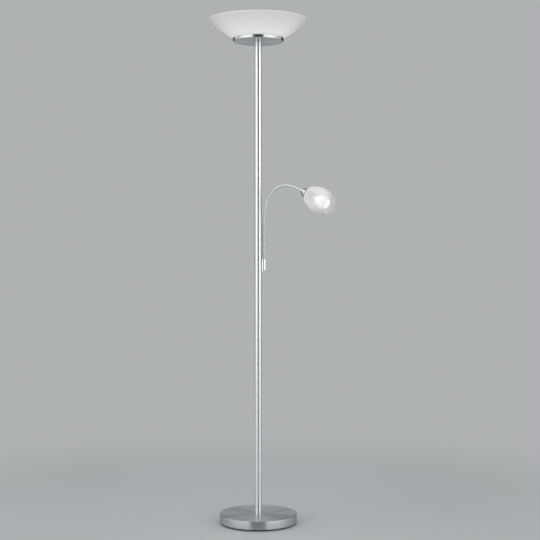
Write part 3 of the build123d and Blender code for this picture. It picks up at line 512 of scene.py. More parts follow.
# %% Nickel, zinc and iron
polished = ((0.70, 0.715, 0.725), (0.78, 0.79, 0.80))
pole_tones = ((0.73, 0.743, 0.753), (0.77, 0.78, 0.79))
base_tones = ((0.47, 0.485, 0.495), (0.60, 0.61, 0.62))
pan_tones = ((0.48, 0.495, 0.505), (0.58, 0.59, 0.60))
satin_tones = ((0.58, 0.59, 0.60), (0.66, 0.67, 0.68))
hose_tones = ((0.68, 0.69, 0.70), (0.76, 0.77, 0.775))
cap_tones = ((0.66, 0.65, 0.61), (0.78, 0.77, 0.73))
zinc_tones = ((0.52, 0.52, 0.48), (0.66, 0.66, 0.61))
iron_tones = ((0.06, 0.06, 0.062), (0.14, 0.138, 0.135))
finishes = {
    "pole_chrome": turned("turned_nickel_pole", 1600, 30, pole_tones, (0.26, 0.28), blur=0.96),
    "cover_steel": turned("turned_nickel_base", 1100, 9, base_tones, (0.26, 0.36), 0.03, blur=0.92),
    "pan": turned("turned_nickel_pan", 1100, 9, pan_tones, (0.22, 0.30), 0.03, blur=0.85),
    "bracket": turned("polished_nickel_bracket", 400, 60, polished, (0.10, 0.16), 0.03, arm_frame),
    "arm_metal": turned("satin_nickel_arm", 1500, 40, satin_tones, (0.56, 0.66), 0.05, arm_frame),
    "cup": turned("polished_nickel_cup", 500, 30, polished, (0.2, 0.28), 0.02, head_frame),
    "cap_metal": turned("pressed_cap", 900, 30, cap_tones, (0.25, 0.4), 0.1, head_frame),
    "neck_metal": grained("hose_nickel", 900, 60, 0.3, hose_tones, (0.46, 0.56), 0.02, Metallic=1.0),
    "lever": grained("polished_nickel_lever", 700, 90, 0.5, polished, (0.09, 0.16), 0.02, Metallic=1.0),
    "zinc_steel": grained("zinc_plate", 350, 70, 0.6, zinc_tones, (0.28, 0.46), 0.15, Metallic=1.0),
    "iron": grained("cast_iron", 260, 25, 0.5, iron_tones, (0.5, 0.75), 0.8, Metallic=0.7),
}
print("metals", len(finishes))

# %% [markdown]
# ## Other finishes
# Rubber, foam, moulded plastic and ceramic differ by their tone, their gloss and the size of
# their grain. The ceramic has a glaze, which is a clear coat over a slightly uneven body.

# %% Rubber, plastic and ceramic
foam_tones = ((0.016, 0.016, 0.017), (0.045, 0.045, 0.046))
rubber_tones = ((0.016, 0.016, 0.017), (0.032, 0.032, 0.033))
silicone_tones = ((0.26, 0.26, 0.25), (0.36, 0.36, 0.345))
switch_tones = ((0.022, 0.022, 0.023), (0.04, 0.04, 0.041))
holder_tones = ((0.04, 0.04, 0.041), (0.07, 0.07, 0.071))
ceramic_tones = ((0.74, 0.72, 0.66), (0.84, 0.82, 0.77))
finishes |= {
    "pad_foam": grained("dark_foam", 900, 30, 0.3, foam_tones, (0.85, 0.95), 0.9),
    "gland_rubber": grained("moulded_rubber", 700, 50, 0.3, rubber_tones, (0.5, 0.65), 0.25),
    "gasket_rubber": grained("grey_silicone", 600, 40, 0.4, silicone_tones, (0.5, 0.65), 0.2),
    "switch_plastic": grained("switch_moulding", 1200, 80, 0.3, switch_tones, (0.28, 0.4), 0.1),
    "holder_plastic": grained("holder_moulding", 900, 60, 0.4, holder_tones, (0.42, 0.56), 0.3),
    "ceramic": grained(
        "glazed_ceramic", 500, 50, 0.6, ceramic_tones, (0.3, 0.5), 0.15, Coat_Weight=0.6, Coat_Roughness=0.12
    ),
}
print("finishes so far", len(finishes))

# %% [markdown]
# ## Glass
# The bowl is white satin glass: nothing can be seen behind it, and the light that comes through it is a
# painted glow, an emission strongest low down in the middle, where the lamp is near, fading to the rim. The
# reading shade is frosted clear glass: the bulb inside shows through it as a soft bright ball. That needs
# real transmission with a rough surface, and a faint painted glow near the shade's back adds to it.
#
# Most finishes carry the name of the CAD model's slot that they dress, so a node finds its finish
# by its slot. A few nodes share a slot with others but look different, and those are listed.

# %% Glass finishes
bowl_lamp_place = Vector((0, 0, 1754.2 * MM))
bulb_place = head_frame @ Vector((0, 0, 91.5 * MM))
# Centre of the shade's painted glow, near its back.
shade_painted_glow_place = head_frame @ Vector((0, 0, 50 * MM))
bowl_tones = ((0.54, 0.545, 0.55), (0.58, 0.58, 0.58))
shade_tones = ((0.78, 0.785, 0.79), (0.84, 0.84, 0.84))
opal_tones = ((0.90, 0.89, 0.87), (0.95, 0.945, 0.93))
quartz_tones = ((0.88, 0.87, 0.85), (0.95, 0.94, 0.92))
unlit, painted_bowl_glow = (0.0, 0.0, 0.0), (1.0, 0.985, 0.965)
finishes |= {
    # The bowl's outside: painted glow, an emission brightest near the lamp.
    "bowl_glass": glowing(
        grained(
            "satin_white_glass", 1400, 9, 0.7, bowl_tones, (0.34, 0.42), 0.04,
            Coat_Weight=0.15, Coat_Roughness=0.25,
        ),
        bowl_lamp_place, 0.06, 0.215, (0.2, 0.205, 0.215), painted_bowl_glow, 0.42,
    ),
    # The bowl's inside: a copy of the bowl finish with a weaker painted glow.
    "bowl_inside": glowing(
        grained("satin_white_glass_inside", 1400, 9, 0.7, bowl_tones, (0.34, 0.42), 0.04),
        bowl_lamp_place, 0.03, 0.17, unlit, painted_bowl_glow, 0.05,
    ),
    # The shade: real transmission, plus a faint painted glow near its back.
    "shade_glass": glowing(
        grained(
            "frosted_glass", 1600, 14, 0.6, shade_tones, (0.26, 0.34), 0.05,
            Transmission_Weight=0.66, IOR=1.45,
        ),
        shade_painted_glow_place, 0.03, 0.095, unlit, (1.0, 0.985, 0.97), 0.12,
    ),
    "bulb_glass": glowing(
        grained("lit_opal_glass", 900, 30, 0.6, opal_tones, (0.2, 0.3), 0.03),
        bulb_place, 0.020, 0.045, (0.72, 0.66, 0.58), (1.0, 0.975, 0.94), 0.92,
    ),
    "quartz": glowing(
        grained("lit_quartz", 900, 60, 0.5, quartz_tones, (0.1, 0.2), 0.03),
        bowl_lamp_place, 0.035, 0.060, (0.35, 0.33, 0.30), (1.0, 0.97, 0.92), 0.9,
    ),
}
print("finishes", len(finishes))

# %% Finishes on the CAD nodes
look_of_node = {
    "bowl_pan": "pan", "arm_bracket": "bracket", "toggle_lower": "lever", "toggle_upper": "lever",
    "head_cup": "cup",
}


def look_of(node, slot):
    """The finish of a CAD node: its slot's finish, unless the node has a look of its own."""
    return finishes[look_of_node.get(node, slot)]


for name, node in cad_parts.items():
    slot = node.material_slots[0]
    slot.material = look_of(name, slot.material.name)
print("dressed", len(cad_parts), "CAD nodes")

# %% [markdown]
# ## Round pieces with Geometry Nodes
# Most of this lamp is round: it was spun, turned, blown or wound. Such a piece is a chain of
# points and a rule, so its tree starts with a grid that has a row for each point of the chain.
# Each row reads its own point, and the rule moves the row's corners round it. Merging the doubled
# points closes the seam and the ends. The mesh is clean, with as many steps round as it needs.


# %% What both trees share
def rows_of(tree, tree_in, chain_label):
    """A grid with a row for each point of a chain, the share of a turn, and a reader for rows."""
    points = tree_in[chain_label]
    count = add_node(tree, "GeometryNodeAttributeDomainSize", {0: points}, component="MESH")
    count = count.outputs["Point Count"]
    columns = math_node("ADD", tree_in["Steps Around"], 1)
    size = {"Size X": 1.0, "Size Y": 1.0, "Vertices X": columns, "Vertices Y": count}
    grid = add_node(tree, "GeometryNodeMeshGrid", size).outputs["Mesh"]
    here = add_node(tree, "GeometryNodeInputPosition").outputs[0]
    spot = parts_of(here)
    share_up = math_node("ADD", spot["Y"], 0.5)
    row = math_node("MULTIPLY", share_up, math_node("SUBTRACT", count, 1))
    row = math_node("ROUND", row)

    def read(source, kind):
        """A value of the chain's point that belongs to this row."""
        inputs = {"Geometry": points, "Value": source, "Index": row}
        return add_node(tree, "GeometryNodeSampleIndex", inputs, data_type=kind, clamp=True).outputs[0]

    return grid, math_node("ADD", spot["X"], 0.5), read


def end_tree(tree, geometry, tree_in, tree_out):
    """Close a tree: realize its instances and set the finish."""
    real = add_node(tree, "GeometryNodeRealizeInstances", {0: geometry}).outputs[0]
    inputs = {"Geometry": real, "Material": tree_in["Finish"]}
    set_inputs(tree_out, {0: add_node(tree, "GeometryNodeSetMaterial", inputs).outputs[0]})
    print("tree", tree.name, "with", len(tree.nodes), "nodes")


def closed_and_smooth(tree, grid, place, join_distance):
    """The grid with its corners moved, its doubled points merged and its faces smooth."""
    moved = add_node(tree, "GeometryNodeSetPosition", {"Geometry": grid, "Position": place})
    doubles = {"Geometry": moved.outputs[0], "Distance": join_distance}
    merged = add_node(tree, "GeometryNodeMergeByDistance", doubles).outputs[0]
    return add_node(tree, "GeometryNodeSetShadeSmooth", {0: merged}).outputs[0]


def grow(name, start_mesh, tree, inputs):
    """Run a geometry tree on a start mesh and keep the result as a plain mesh."""
    seed = new_object(name + "_seed", start_mesh)
    modifier = seed.modifiers.new(tree.name, "NODES")
    modifier.node_group = tree
    for item in tree.interface.items_tree:
        if item.item_type == "SOCKET" and item.in_out == "INPUT" and item.name in inputs:
            modifier[item.identifier] = inputs[item.name]
    settled = seed.evaluated_get(bpy.context.evaluated_depsgraph_get())
    mesh = bpy.data.meshes.new_from_object(settled)
    bpy.data.objects.remove(seed)
    mesh.name = name
    return mesh


# %% The lathe tree
lathe, lathe_in, lathe_out = new_group(
    "lathe", "GeometryNodeTree",
    [("Outline", "Geometry", None), ("Steps Around", "Int", 96), ("Finish", "Material", None)],
    [("Geometry", "Geometry")],
)
lathe_grid, lathe_turn, read_outline = rows_of(lathe, lathe_in, "Outline")
outline_point = read_outline(add_node(lathe, "GeometryNodeInputPosition").outputs[0], "FLOAT_VECTOR")
turning = {"Vector": outline_point, "Angle": math_node("MULTIPLY", lathe_turn, 2 * math.pi)}
turned_point = add_node(lathe, "ShaderNodeVectorRotate", turning, rotation_type="Z_AXIS").outputs[0]
end_tree(lathe, closed_and_smooth(lathe, lathe_grid, turned_point, 0.002 * MM), lathe_in, lathe_out)


# %% Pieces from the lathe
def chain(name, points):
    """A mesh that is only a chain of points."""
    mesh = bpy.data.meshes.new(name)
    mesh.from_pydata([tuple(point) for point in points], [(i, i + 1) for i in range(len(points) - 1)], [])
    return mesh


def face_outward(mesh, crease):
    """Turn a closed mesh's faces outward, and keep edges sharp that bend more than the crease."""
    shape = bmesh.new()
    shape.from_mesh(mesh)
    inside_out = shape.calc_volume(signed=True) < 0
    shape.free()
    if inside_out:
        mesh.flip_normals()
    mesh.set_sharp_from_angle(angle=math.radians(crease))


def turned_mesh(name, outline, place, look, steps=96, crease=32):
    """Turn an outline of (distance from axis, height) in millimetres into a closed mesh."""
    points = [(radius * MM, 0, height * MM) for radius, height in outline]
    mesh = grow(name, chain(name + "_outline", points), lathe, {"Steps Around": steps, "Finish": look})
    mesh.transform(place)
    face_outward(mesh, crease)
    return mesh


def add_piece(name, mesh, body, nodes):
    """Put a finished mesh in the scene, on its body, in place of CAD nodes."""
    piece = new_object(name, mesh)
    if body is not None:
        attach(piece, body)
    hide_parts(*nodes)
    return piece


def fits(piece, node):
    """Print how far a piece's box is from the box of the CAD node it stands for."""
    corners = np.array([vertex.co for vertex in piece.data.vertices])
    low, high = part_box(node)
    off = max(np.abs(corners.min(0) - low).max(), np.abs(corners.max(0) - high).max())
    print(piece.name, len(piece.data.polygons), "faces, box within", round(off / MM, 2), "mm of the CAD")


def turned_piece(name, outline, place, body, node, slot, **detail):
    """A turned mesh as a piece that stands for one CAD node and has its finish."""
    mesh = turned_mesh(name, outline, place, look_of(node, slot), **detail)
    piece = add_piece(name, mesh, body, [node])
    fits(piece, node)
    return piece


# %% [markdown]
# ## Outlines
# An outline is a list of corners, each with the radius of its rounding. A turned edge is never
# perfectly sharp, and its small rounding is what catches the light. A helper replaces each
# corner by a short arc. Blown glass has no corners, so its outline is a smooth line through a
# few places, with the same thickness measured square to it.

# %% Corners and smooth lines
corner_steps = 5
rim_steps = 6


def rounded(corners, closed=True):
    """Points of an outline whose corners (radius, height, rounding) are rounded off."""
    points = []
    count = len(corners)
    for index, (x, y, rounding) in enumerate(corners):
        here = Vector((x, y))
        if rounding <= 0 or (not closed and index in (0, count - 1)):
            points.append((x, y))
            continue
        before = (Vector(corners[index - 1][:2]) - here).normalized()
        after = (Vector(corners[(index + 1) % count][:2]) - here).normalized()
        half = math.acos(max(-1, min(1, before.dot(after)))) / 2
        centre = here + (before + after).normalized() * (rounding / math.sin(half))
        first = here + before * (rounding / math.tan(half)) - centre
        last = here + after * (rounding / math.tan(half)) - centre
        sweep = math.atan2(first.x * last.y - first.y * last.x, first.dot(last))
        for step in range(corner_steps + 1):
            angle = sweep * step / corner_steps
            cos, sin = math.cos(angle), math.sin(angle)
            spoke = Vector((first.x * cos - first.y * sin, first.x * sin + first.y * cos))
            points.append(tuple(centre + spoke))
    return points + [points[0]] if closed else points


def smooth_slopes(places, gaps, start, end):
    """The slopes that make a line through places bend evenly, with given slopes at its ends."""
    count = len(places)
    matrix = np.zeros((count, count))
    right = np.zeros((count, 2))
    matrix[0, 0] = matrix[-1, -1] = 1
    right[0], right[-1] = start, end
    for i in range(1, count - 1):
        matrix[i, i - 1], matrix[i, i + 1] = 1 / gaps[i - 1], 1 / gaps[i]
        matrix[i, i] = 2 * (1 / gaps[i - 1] + 1 / gaps[i])
        before, after = places[i] - places[i - 1], places[i + 1] - places[i]
        right[i] = 3 * (before / gaps[i - 1] ** 2 + after / gaps[i] ** 2)
    return np.linalg.solve(matrix, right)


def smooth_line(places, start, end, steps):
    """Points and directions along a smooth line through places, with given end directions."""
    places = np.array(places, float)
    gaps = np.linalg.norm(np.diff(places, axis=0), axis=1)
    slopes = smooth_slopes(places, gaps, start, end)
    points, directions = [], []
    for i, gap in enumerate(gaps):
        pieces = max(2, round(steps * gap / gaps.sum()))
        for t in np.linspace(0, 1, pieces + 1)[(1 if i else 0):]:
            a, b = places[i], places[i + 1]
            m, n = slopes[i] * gap, slopes[i + 1] * gap
            points.append(
                (2 * t**3 - 3 * t**2 + 1) * a + (t**3 - 2 * t**2 + t) * m
                + (3 * t**2 - 2 * t**3) * b + (t**3 - t**2) * n
            )
            along = (6 * t**2 - 6 * t) * (a - b) + (3 * t**2 - 4 * t + 1) * m + (3 * t**2 - 2 * t) * n
            directions.append(along / np.linalg.norm(along))
    return points, directions


def slope_direction(slope):
    """The direction of a line at a slope, as (outward, upward)."""
    return math.cos(slope), math.sin(slope)


def glass_wall(places, start, end, thickness, rim, steps):
    """Outline of a blown wall: the outer line, a fire-rounded rim and the inner line back."""
    outer, directions = smooth_line(places, start, end, steps)
    normals = [np.array((-d[1], d[0])) for d in directions]
    inner = [point + normal * thickness for point, normal in zip(outer, normals)]
    tip, normal = directions[-1], normals[-1] * math.copysign(1, thickness)
    first_centre = outer[-1] - tip * rim + normal * rim
    second_centre = inner[-1] - tip * rim - normal * rim
    angles = [math.pi / 2 * step / rim_steps for step in range(rim_steps + 1)]
    arcs = [first_centre - normal * rim * math.cos(angle) + tip * rim * math.sin(angle) for angle in angles]
    arcs += [second_centre + tip * rim * math.cos(angle) + normal * rim * math.sin(angle) for angle in angles]
    return outer[:-1] + arcs + inner[:-1][::-1]


# %% [markdown]
# ## Base cover
# The cover is a disc with a straight side, pressed or spun from sheet. Its top edge has a small
# radius that shows as a thin bright line. The outline goes over the top, down the side and back
# up inside, so the cover is a real shell of one millimetre.

# %% Base cover
cover_radius, cover_top, cover_lift, cover_wall, cover_hole = 138.0, 35.0, 6.0, 1.0, 5.0
cover_outline = rounded(
    [
        (cover_hole, cover_top - cover_wall, 0),
        (cover_radius - cover_wall, cover_top - cover_wall, 0.2),
        (cover_radius - cover_wall, cover_lift, 0.2),
        (cover_radius, cover_lift, 0.3),
        (cover_radius, cover_top, 0.9),
        (cover_hole, cover_top, 0),
    ]
)
turned_piece("base_cover_spun", cover_outline, pole_frame, "stand", "base_cover", "cover_steel", steps=192)

# %% [markdown]
# ## Glass bowl
# The bowl rises from a flat floor in one long sweep to a wide rim. Four places and the two end directions
# give the outer line. The inner line runs four millimetres beside it. The inside gets a copy of the finish
# with a weaker painted glow than the outside, since the lamp there lights it for real.

# %% Bowl
bowl_floor, bowl_top, bowl_radius, bowl_hole = 1725.0, 1800.0, 175.0, 7.0
bowl_glass, bowl_rim, bowl_slope = 4.0, 1.8, math.radians(46)
bowl_foot, bowl_shoulder, bowl_side = (55, 0), (104, 17.5), (145.3, 45.5)
inside_rise = 0.3
rim_flat = bowl_glass / 2 - bowl_rim
rim_middle = (
    bowl_radius - bowl_rim * (1 - math.cos(bowl_slope)) - rim_flat * math.sin(bowl_slope),
    bowl_top - bowl_rim * (1 - math.sin(bowl_slope)) - rim_flat * math.cos(bowl_slope),
)
rim_outside = (
    rim_middle[0] + bowl_glass / 2 * math.sin(bowl_slope),
    rim_middle[1] - bowl_glass / 2 * math.cos(bowl_slope),
)
bowl_places = [(radius, bowl_floor + rise) for radius, rise in (bowl_foot, bowl_shoulder, bowl_side)]
bowl_places.append(rim_outside)
bowl_wall = glass_wall(bowl_places, (1, 0), slope_direction(bowl_slope), bowl_glass, bowl_rim, 48)
bowl_outline = [(bowl_hole, bowl_floor)] + bowl_wall
bowl_outline += [(bowl_hole, bowl_floor + bowl_glass), (bowl_hole, bowl_floor)]
bowl = turned_piece("bowl_blown", bowl_outline, pole_frame, "stand", "bowl_shade", "bowl_glass", steps=192)
# Inner faces that look up take the inside copy, with its weaker painted glow.
bowl.data.materials.append(finishes["bowl_inside"])
for face in bowl.data.polygons:
    outward = Vector((face.center.x, face.center.y, 0))
    if face.normal.dot(outward) < 0 and face.normal.z > inside_rise:
        face.material_index = 1

# %% [markdown]
# ## Lamp in the bowl
# A linear lamp is a quartz tube that is pinched at both ends. It lies level across the pole, so
# its outline is turned about a level axis.

# %% Linear lamp
lamp_half, tube_half, tube_radius, end_radius, pinch = 58.8, 47.8, 5.75, 3.4, 2.4
lamp_outline = rounded(
    [
        (0, -lamp_half, 0), (end_radius, -lamp_half, 0.8), (end_radius, -tube_half - pinch, 1.5),
        (tube_radius, -tube_half, 2.0), (tube_radius, tube_half, 2.0), (end_radius, tube_half + pinch, 1.5),
        (end_radius, lamp_half, 0.8), (0, lamp_half, 0),
    ],
    closed=False,
)
level_frame = Matrix.Translation(bowl_lamp_place) @ Matrix.Rotation(math.pi / 2, 4, "Y")
turned_piece("linear_lamp", lamp_outline, level_frame, "stand", "bowl_lamp", "quartz", steps=48)

# %% [markdown]
# ## Arm tube and ferrule
# The tube is plain. The ferrule on top of it has a turned groove, which is the dark line that
# can be seen under the neck. Their edges are broken by a few tenths of a millimetre.

# %% Arm tube and ferrule
tube_bottom, tube_top, arm_radius, arm_bore = 922.0, 1046.0, 5.75, 4.0
tube_outline = rounded(
    [
        (arm_bore, tube_bottom, 0), (arm_radius, tube_bottom, 0.2), (arm_radius, tube_top, 0.3),
        (arm_bore, tube_top, 0),
    ]
)
ferrule_top, ferrule_bore, groove_top, groove_radius = 1069.0, 2.8, 1050.5, 4.9
spigot_bottom, spigot_radius, socket_bottom, socket_radius = tube_top - 12, 3.9, ferrule_top - 10.3, 4.6
ferrule_outline = rounded(
    [
        (ferrule_bore, spigot_bottom, 0), (spigot_radius, spigot_bottom, 0.2), (spigot_radius, tube_top, 0),
        (groove_radius, tube_top, 0), (groove_radius, groove_top, 0.2), (arm_radius, groove_top, 0.3),
        (arm_radius, ferrule_top, 0.8), (socket_radius, ferrule_top, 0), (socket_radius, socket_bottom, 0),
        (ferrule_bore, socket_bottom, 0),
    ]
)
turned_piece("arm_tube_satin", tube_outline, arm_frame, "arm", "arm_tube", "arm_metal", steps=64)
turned_piece("arm_ferrule_turned", ferrule_outline, arm_frame, "arm", "arm_ferrule", "arm_metal", steps=64)

# %% [markdown]
# ## Toggle levers
# Each lever is one turned piece: a pivot ball inside the switch, a slim waist and the round knob
# that a finger flips. Both stand tipped up, as in the on position.

# %% Toggle levers
pivot_radius, stem_radius, knob_radius, lever_length = 2.2, 1.2, 2.75, 8.0
pivot_steps, knob_steps = 12, 20
waist_share, waist_place, stem_start = 0.92, 0.45, 0.86
lever_tilt = math.radians(17)


def lever_outline():
    """Pivot ball, waisted stem and knob, from below the pivot to the knob's top."""
    points = []
    for step in range(pivot_steps + 1):
        angle = math.pi * (1 - step / pivot_steps)
        if pivot_radius * math.sin(angle) < stem_radius and math.cos(angle) > 0:
            break
        points.append((pivot_radius * math.sin(angle), pivot_radius * math.cos(angle)))
    knob_start = math.asin(stem_radius / knob_radius)
    points.append((stem_radius, pivot_radius * stem_start))
    points.append((stem_radius * waist_share, lever_length * waist_place))
    points.append((stem_radius, lever_length - knob_radius * math.cos(knob_start)))
    for step in range(1, knob_steps + 1):
        angle = knob_start + (math.pi - knob_start) * step / knob_steps
        points.append((knob_radius * math.sin(angle), lever_length - knob_radius * math.cos(angle)))
    points[0] = (0.0, points[0][1])
    points[-1] = (0.0, points[-1][1])
    return points


lever_direction = Vector((-math.cos(lever_tilt), 0, math.sin(lever_tilt)))
lever_side = Vector((0, 1, 0))
lever_points = lever_outline()
for name, height in (("toggle_lower", 904.0), ("toggle_upper", 929.0)):
    pivot_place = Vector((-9.5 * MM, 0, height * MM))
    lever_frame = square_to(pivot_place, lever_side, lever_direction.cross(lever_side), lever_direction)
    turned_piece(name + "_lever", lever_points, lever_frame, name, name, "pole_chrome", steps=40, crease=60)

# %% [markdown]
# ## Flexible neck
# The neck is a hose wound from wire: a fine rib runs round it in a screw line, and it bends anywhere. Six
# joints stand for its bending, so it is made in six lengths, each from the middle of one link to the middle
# of the next, with one joint inside each; here every length keeps the bend of the rest pose. The tree gets a
# chain of places along the neck, each with its direction and its distance from the ferrule. The rib's phase
# comes from that distance, so the screw line runs on from one length to the next.

# %% The hose tree
hose_radius, rib_depth, rib_pitch = 4.5 * MM, 0.4 * MM, 2.2 * MM
rib_roundness, rib_root = 0.6, 0.0001
hose, hose_in, hose_out = new_group(
    "wound_hose", "GeometryNodeTree",
    [
        ("Path", "Geometry", None), ("Steps Around", "Int", 32), ("Radius", "Float", hose_radius),
        ("Rib Depth", "Float", rib_depth), ("Rib Pitch", "Float", rib_pitch), ("Finish", "Material", None),
    ],
    [("Geometry", "Geometry")],
)
hose_grid, hose_turn, read_path = rows_of(hose, hose_in, "Path")


def path_value(label, kind):
    """A named value stored on the path, at this row's point."""
    node = add_node(hose, "GeometryNodeInputNamedAttribute", {"Name": label}, data_type=kind)
    return read_path(node.outputs[0], kind)


path_point = read_path(add_node(hose, "GeometryNodeInputPosition").outputs[0], "FLOAT_VECTOR")
path_direction = path_value("direction", "FLOAT_VECTOR")
turns = math_node("DIVIDE", path_value("distance", "FLOAT"), hose_in["Rib Pitch"])
phase = math_node("FRACT", math_node("SUBTRACT", turns, hose_turn))
crest = math_node("SINE", math_node("MULTIPLY", phase, math.pi))
crest = math_node("POWER", math_node("MAXIMUM", crest, rib_root), rib_roundness)
root = math_node("SUBTRACT", hose_in["Radius"], hose_in["Rib Depth"])
ribbed = math_node("ADD", root, math_node("MULTIPLY", crest, hose_in["Rib Depth"]))
ribbed = math_node("MULTIPLY", ribbed, path_value("open", "FLOAT"))
side_axis = add_node(hose, "FunctionNodeInputVector", vector=arm_side).outputs[0]
around = math_node("MULTIPLY", hose_turn, 2 * math.pi)
spoke = add_node(
    hose, "ShaderNodeVectorRotate", {"Vector": side_axis, "Axis": path_direction, "Angle": around},
    rotation_type="AXIS_ANGLE",
).outputs[0]
reach_out = add_node(hose, "ShaderNodeVectorMath", {0: spoke, "Scale": ribbed}, operation="SCALE").outputs[0]
hose_point = add_node(hose, "ShaderNodeVectorMath", {0: path_point, 1: reach_out}, operation="ADD").outputs[0]
end_tree(hose, closed_and_smooth(hose, hose_grid, hose_point, 0.0005 * MM), hose_in, hose_out)

# %% Neck pieces
rows_per_rib = 9
hose_start, hose_end_gap, bend_reach = -10 * MM, 0.2 * MM, 15 * MM
neck_nodes = [f"neck_section_{number}" for number in range(1, 8)]
joint_distances = np.cumsum(neck_lengths)[:-1]
cuts = [hose_start] + [(a + b) / 2 for a, b in zip(joint_distances, joint_distances[1:])]
cuts.append(neck_length - hose_end_gap)


def neck_path(first, last):
    """The chain of places from one distance to another, closed to a point at both ends."""
    count = round((last - first) / rib_pitch * rows_per_rib)
    distances = [first + (last - first) * step / count for step in range(count + 1)]
    distances = [first] + distances + [last]
    spots = [neck_place(distance) for distance in distances]
    mesh = chain("neck_path", [place for place, _ in spots])
    directions = [value for _, direction in spots for value in direction]
    mesh.attributes.new("direction", "FLOAT_VECTOR", "POINT").data.foreach_set("vector", directions)
    mesh.attributes.new("distance", "FLOAT", "POINT").data.foreach_set("value", distances)
    is_open = [0.0] + [1.0] * (count + 1) + [0.0]
    mesh.attributes.new("open", "FLOAT", "POINT").data.foreach_set("value", is_open)
    return mesh


hose_inputs = {
    "Steps Around": 32, "Radius": hose_radius, "Rib Depth": rib_depth, "Rib Pitch": rib_pitch,
    "Finish": finishes["neck_metal"],
}
for number in range(6):
    name = f"neck_hose_{number + 1}"
    mesh = grow(name, neck_path(cuts[number], cuts[number + 1]), hose, hose_inputs)
    face_outward(mesh, 75)
    stands_for = neck_nodes[:2] if number == 0 else [neck_nodes[number + 1]]
    piece = add_piece(name, mesh, None, stands_for)
    before, _ = neck_place(joint_distances[number] - bend_reach)
    after, _ = neck_place(joint_distances[number] + bend_reach)
    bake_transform(piece)
    print(name, len(mesh.polygons), "faces,", round((cuts[number + 1] - cuts[number]) / MM, 1), "mm long")

# %% [markdown]
# ## Reading head
# The cup is a spun cone with a short collar on the neck. The shade is egg-shaped and open in
# front, and it is held by the lampholder inside the cup. The bulb is a round opal globe. All of
# them are turned about the head's own axis, which points down and to the side.

# %% Cup
cup_outline = rounded(
    [
        (4.6, 0.3, 0), (4.6, -12, 0.15), (6.0, -12, 0.5), (6.0, -7, 1.5), (24.0, 21.0, 0.4),
        (23.0, 21.0, 0.3), (10.0, 5.3, 0), (4.0, 5.3, 0), (4.0, 0.3, 0),
    ]
)
turned_piece("head_cup_spun", cup_outline, head_frame, "head", "head_cup", "pole_chrome")

# %% Reading shade
shade_back, shade_length, shade_glass, shade_rim, shade_hole = 21.5, 105.0, 2.5, 1.0, 14.3
back_slope, mouth_slope = math.radians(62), math.radians(-27)
shade_radii = ((0, 21.5), (26.3, 38.8), (62.0, 45.7), (shade_length, 35.5))
shade_places = [(shade_back + along, radius) for along, radius in shade_radii]
shade_wall = glass_wall(
    shade_places, slope_direction(back_slope), slope_direction(mouth_slope), -shade_glass, shade_rim, 44
)
shade_outline = [(shade_hole, shade_back)] + [(radius, along) for along, radius in shade_wall]
shade_outline += [(shade_hole, shade_back + shade_glass), (shade_hole, shade_back)]
turned_piece(
    "reading_shade_blown", shade_outline, head_frame, "head", "reading_shade", "shade_glass", steps=160
)

# %% Bulb
globe_centre, globe_radius, throat_angle = 91.5, 22.5, math.radians(135)
bulb_length, cap_length, cap_gap = 80, 25, 0.3
throat_radius, throat_edge, throat_edge_rise, throat_steps, throat_waist = 10.0, 9.2, 0.6, 8, 0.5
globe_steps = 32
globe_start = globe_centre + globe_radius - bulb_length + cap_length + cap_gap
throat_start = globe_start + throat_edge_rise
bulb_outline = [(0.0, globe_start), (throat_edge, globe_start), (throat_radius, throat_start)]
throat_end = (globe_radius * math.sin(throat_angle), globe_centre + globe_radius * math.cos(throat_angle))
for step in range(1, throat_steps):
    share = step / throat_steps
    sink = math.sin(share * math.pi) * throat_waist
    radius = throat_radius + (throat_end[0] - throat_radius) * share - sink
    bulb_outline.append((radius, throat_start + (throat_end[1] - throat_start) * share))
for step in range(globe_steps + 1):
    angle = throat_angle * (1 - step / globe_steps)
    bulb_outline.append((globe_radius * math.sin(angle), globe_centre + globe_radius * math.cos(angle)))
turned_piece("bulb_opal", bulb_outline, head_frame, "head", "bulb_globe", "bulb_glass", crease=60)

# %% [markdown]
# ## Holder screws
# Four equal screws hold the two ceramic holders. One screw is modelled with its domed head and
# its cross slot, and a small tree sets it at four places, each turned to face outwards.

# %% One screw
screw_outline = rounded(
    [
        (0, -7.0, 0), (1.2, -7.0, 0.3), (1.5, -6.2, 0.2), (1.5, 0, 0), (2.75, 0, 0.15),
        (2.75, 0.7, 0.4), (1.9, 1.65, 0.6), (0, 1.8, 0),
    ],
    closed=False,
)
slot_half_width, slot_half_length, slot_bottom, slot_reach = 0.35, 1.6, 0.9, 2.0


def cross_slot_mesh():
    """A cross-shaped bar that stands in the screw's head and reaches past its top."""
    near, far = slot_half_width, slot_half_length
    corners = [(near, far), (near, near), (far, near), (far, -near), (near, -near), (near, -far)]
    corners += [(-x, -y) for x, y in corners]
    shape = bmesh.new()
    bottom = shape.faces.new([shape.verts.new((x * MM, y * MM, slot_bottom * MM)) for x, y in corners])
    lifted = bmesh.ops.extrude_face_region(shape, geom=[bottom])["geom"]
    raised = [part for part in lifted if isinstance(part, bmesh.types.BMVert)]
    bmesh.ops.translate(shape, vec=(0, 0, slot_reach * MM), verts=raised)
    bmesh.ops.recalc_face_normals(shape, faces=shape.faces)
    mesh = bpy.data.meshes.new("cross_slot")
    shape.to_mesh(mesh)
    shape.free()
    return mesh


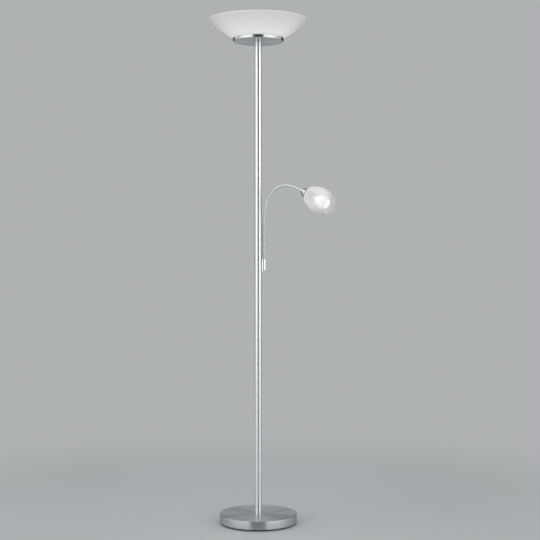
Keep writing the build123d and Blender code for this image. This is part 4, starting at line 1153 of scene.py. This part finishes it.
zinc = finishes["zinc_steel"]
plain_screw = new_object("holder_screw", turned_mesh("holder_screw", screw_outline, pole_frame, zinc, 24))
cutter = new_object("cross_slot", cross_slot_mesh())
cut = plain_screw.modifiers.new("cross_slot", "BOOLEAN")
cut.operation = "DIFFERENCE"
cut.solver = "EXACT"
cut.object = cutter
slotted = bpy.data.meshes.new_from_object(plain_screw.evaluated_get(bpy.context.evaluated_depsgraph_get()))
for helper in (plain_screw, cutter):
    bpy.data.objects.remove(helper)
screw = new_object("holder_screw_model", slotted)
print("screw", len(slotted.polygons), "faces")

# %% Screws at their places
setting, setting_in, setting_out = new_group(
    "set_screws", "GeometryNodeTree",
    [("Places", "Geometry", None), ("Screw", "Object", None), ("Finish", "Material", None)],
    [("Geometry", "Geometry")],
)
screw_shape = add_node(setting, "GeometryNodeObjectInfo", {"Object": setting_in["Screw"]}).outputs["Geometry"]
facing = add_node(setting, "GeometryNodeInputNamedAttribute", {"Name": "facing"}, data_type="FLOAT_VECTOR")
aim = add_node(setting, "FunctionNodeAlignRotationToVector", {"Vector": facing.outputs[0]}, axis="Z")
on_points = {"Points": setting_in["Places"], "Instance": screw_shape, "Rotation": aim.outputs[0]}
set_screws = add_node(setting, "GeometryNodeInstanceOnPoints", on_points).outputs[0]
end_tree(setting, set_screws, setting_in, setting_out)

bracket_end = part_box("lamp_bracket")[1].x
screw_rise = 6 * MM
screw_spots, screw_facing = [], []
for side in (-1, 1):
    for rise in (-screw_rise, screw_rise):
        screw_spots.append((side * bracket_end, 0, bowl_lamp_place.z + rise))
        screw_facing += [side, 0, 0]
spots_mesh = bpy.data.meshes.new("screw_spots")
spots_mesh.from_pydata(screw_spots, [], [])
spots_mesh.attributes.new("facing", "FLOAT_VECTOR", "POINT").data.foreach_set("vector", screw_facing)
screws_mesh = grow("holder_screws_set", spots_mesh, setting, {"Screw": screw, "Finish": zinc})
bpy.data.objects.remove(screw)
screws = add_piece("holder_screws_set", screws_mesh, "stand", ["holder_screws"])
fits(screws, "holder_screws")

# %% [markdown]
# ## Light level and sizes
# The view transform is the plain one, so a colour comes out about as it is written. The boxes of
# the CAD model and of the dressed lamp are written down, to compare their sizes.

# %% View and sizes
bpy.context.scene.view_settings.view_transform = "Standard"
dressed_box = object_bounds()
growth = max(
    max(low - dressed for low, dressed in zip(cad_box[0], dressed_box[0])),
    max(dressed - high for high, dressed in zip(cad_box[1], dressed_box[1])),
)
print("the dressed lamp passes the CAD box by", round(growth * 1000, 3), "mm")
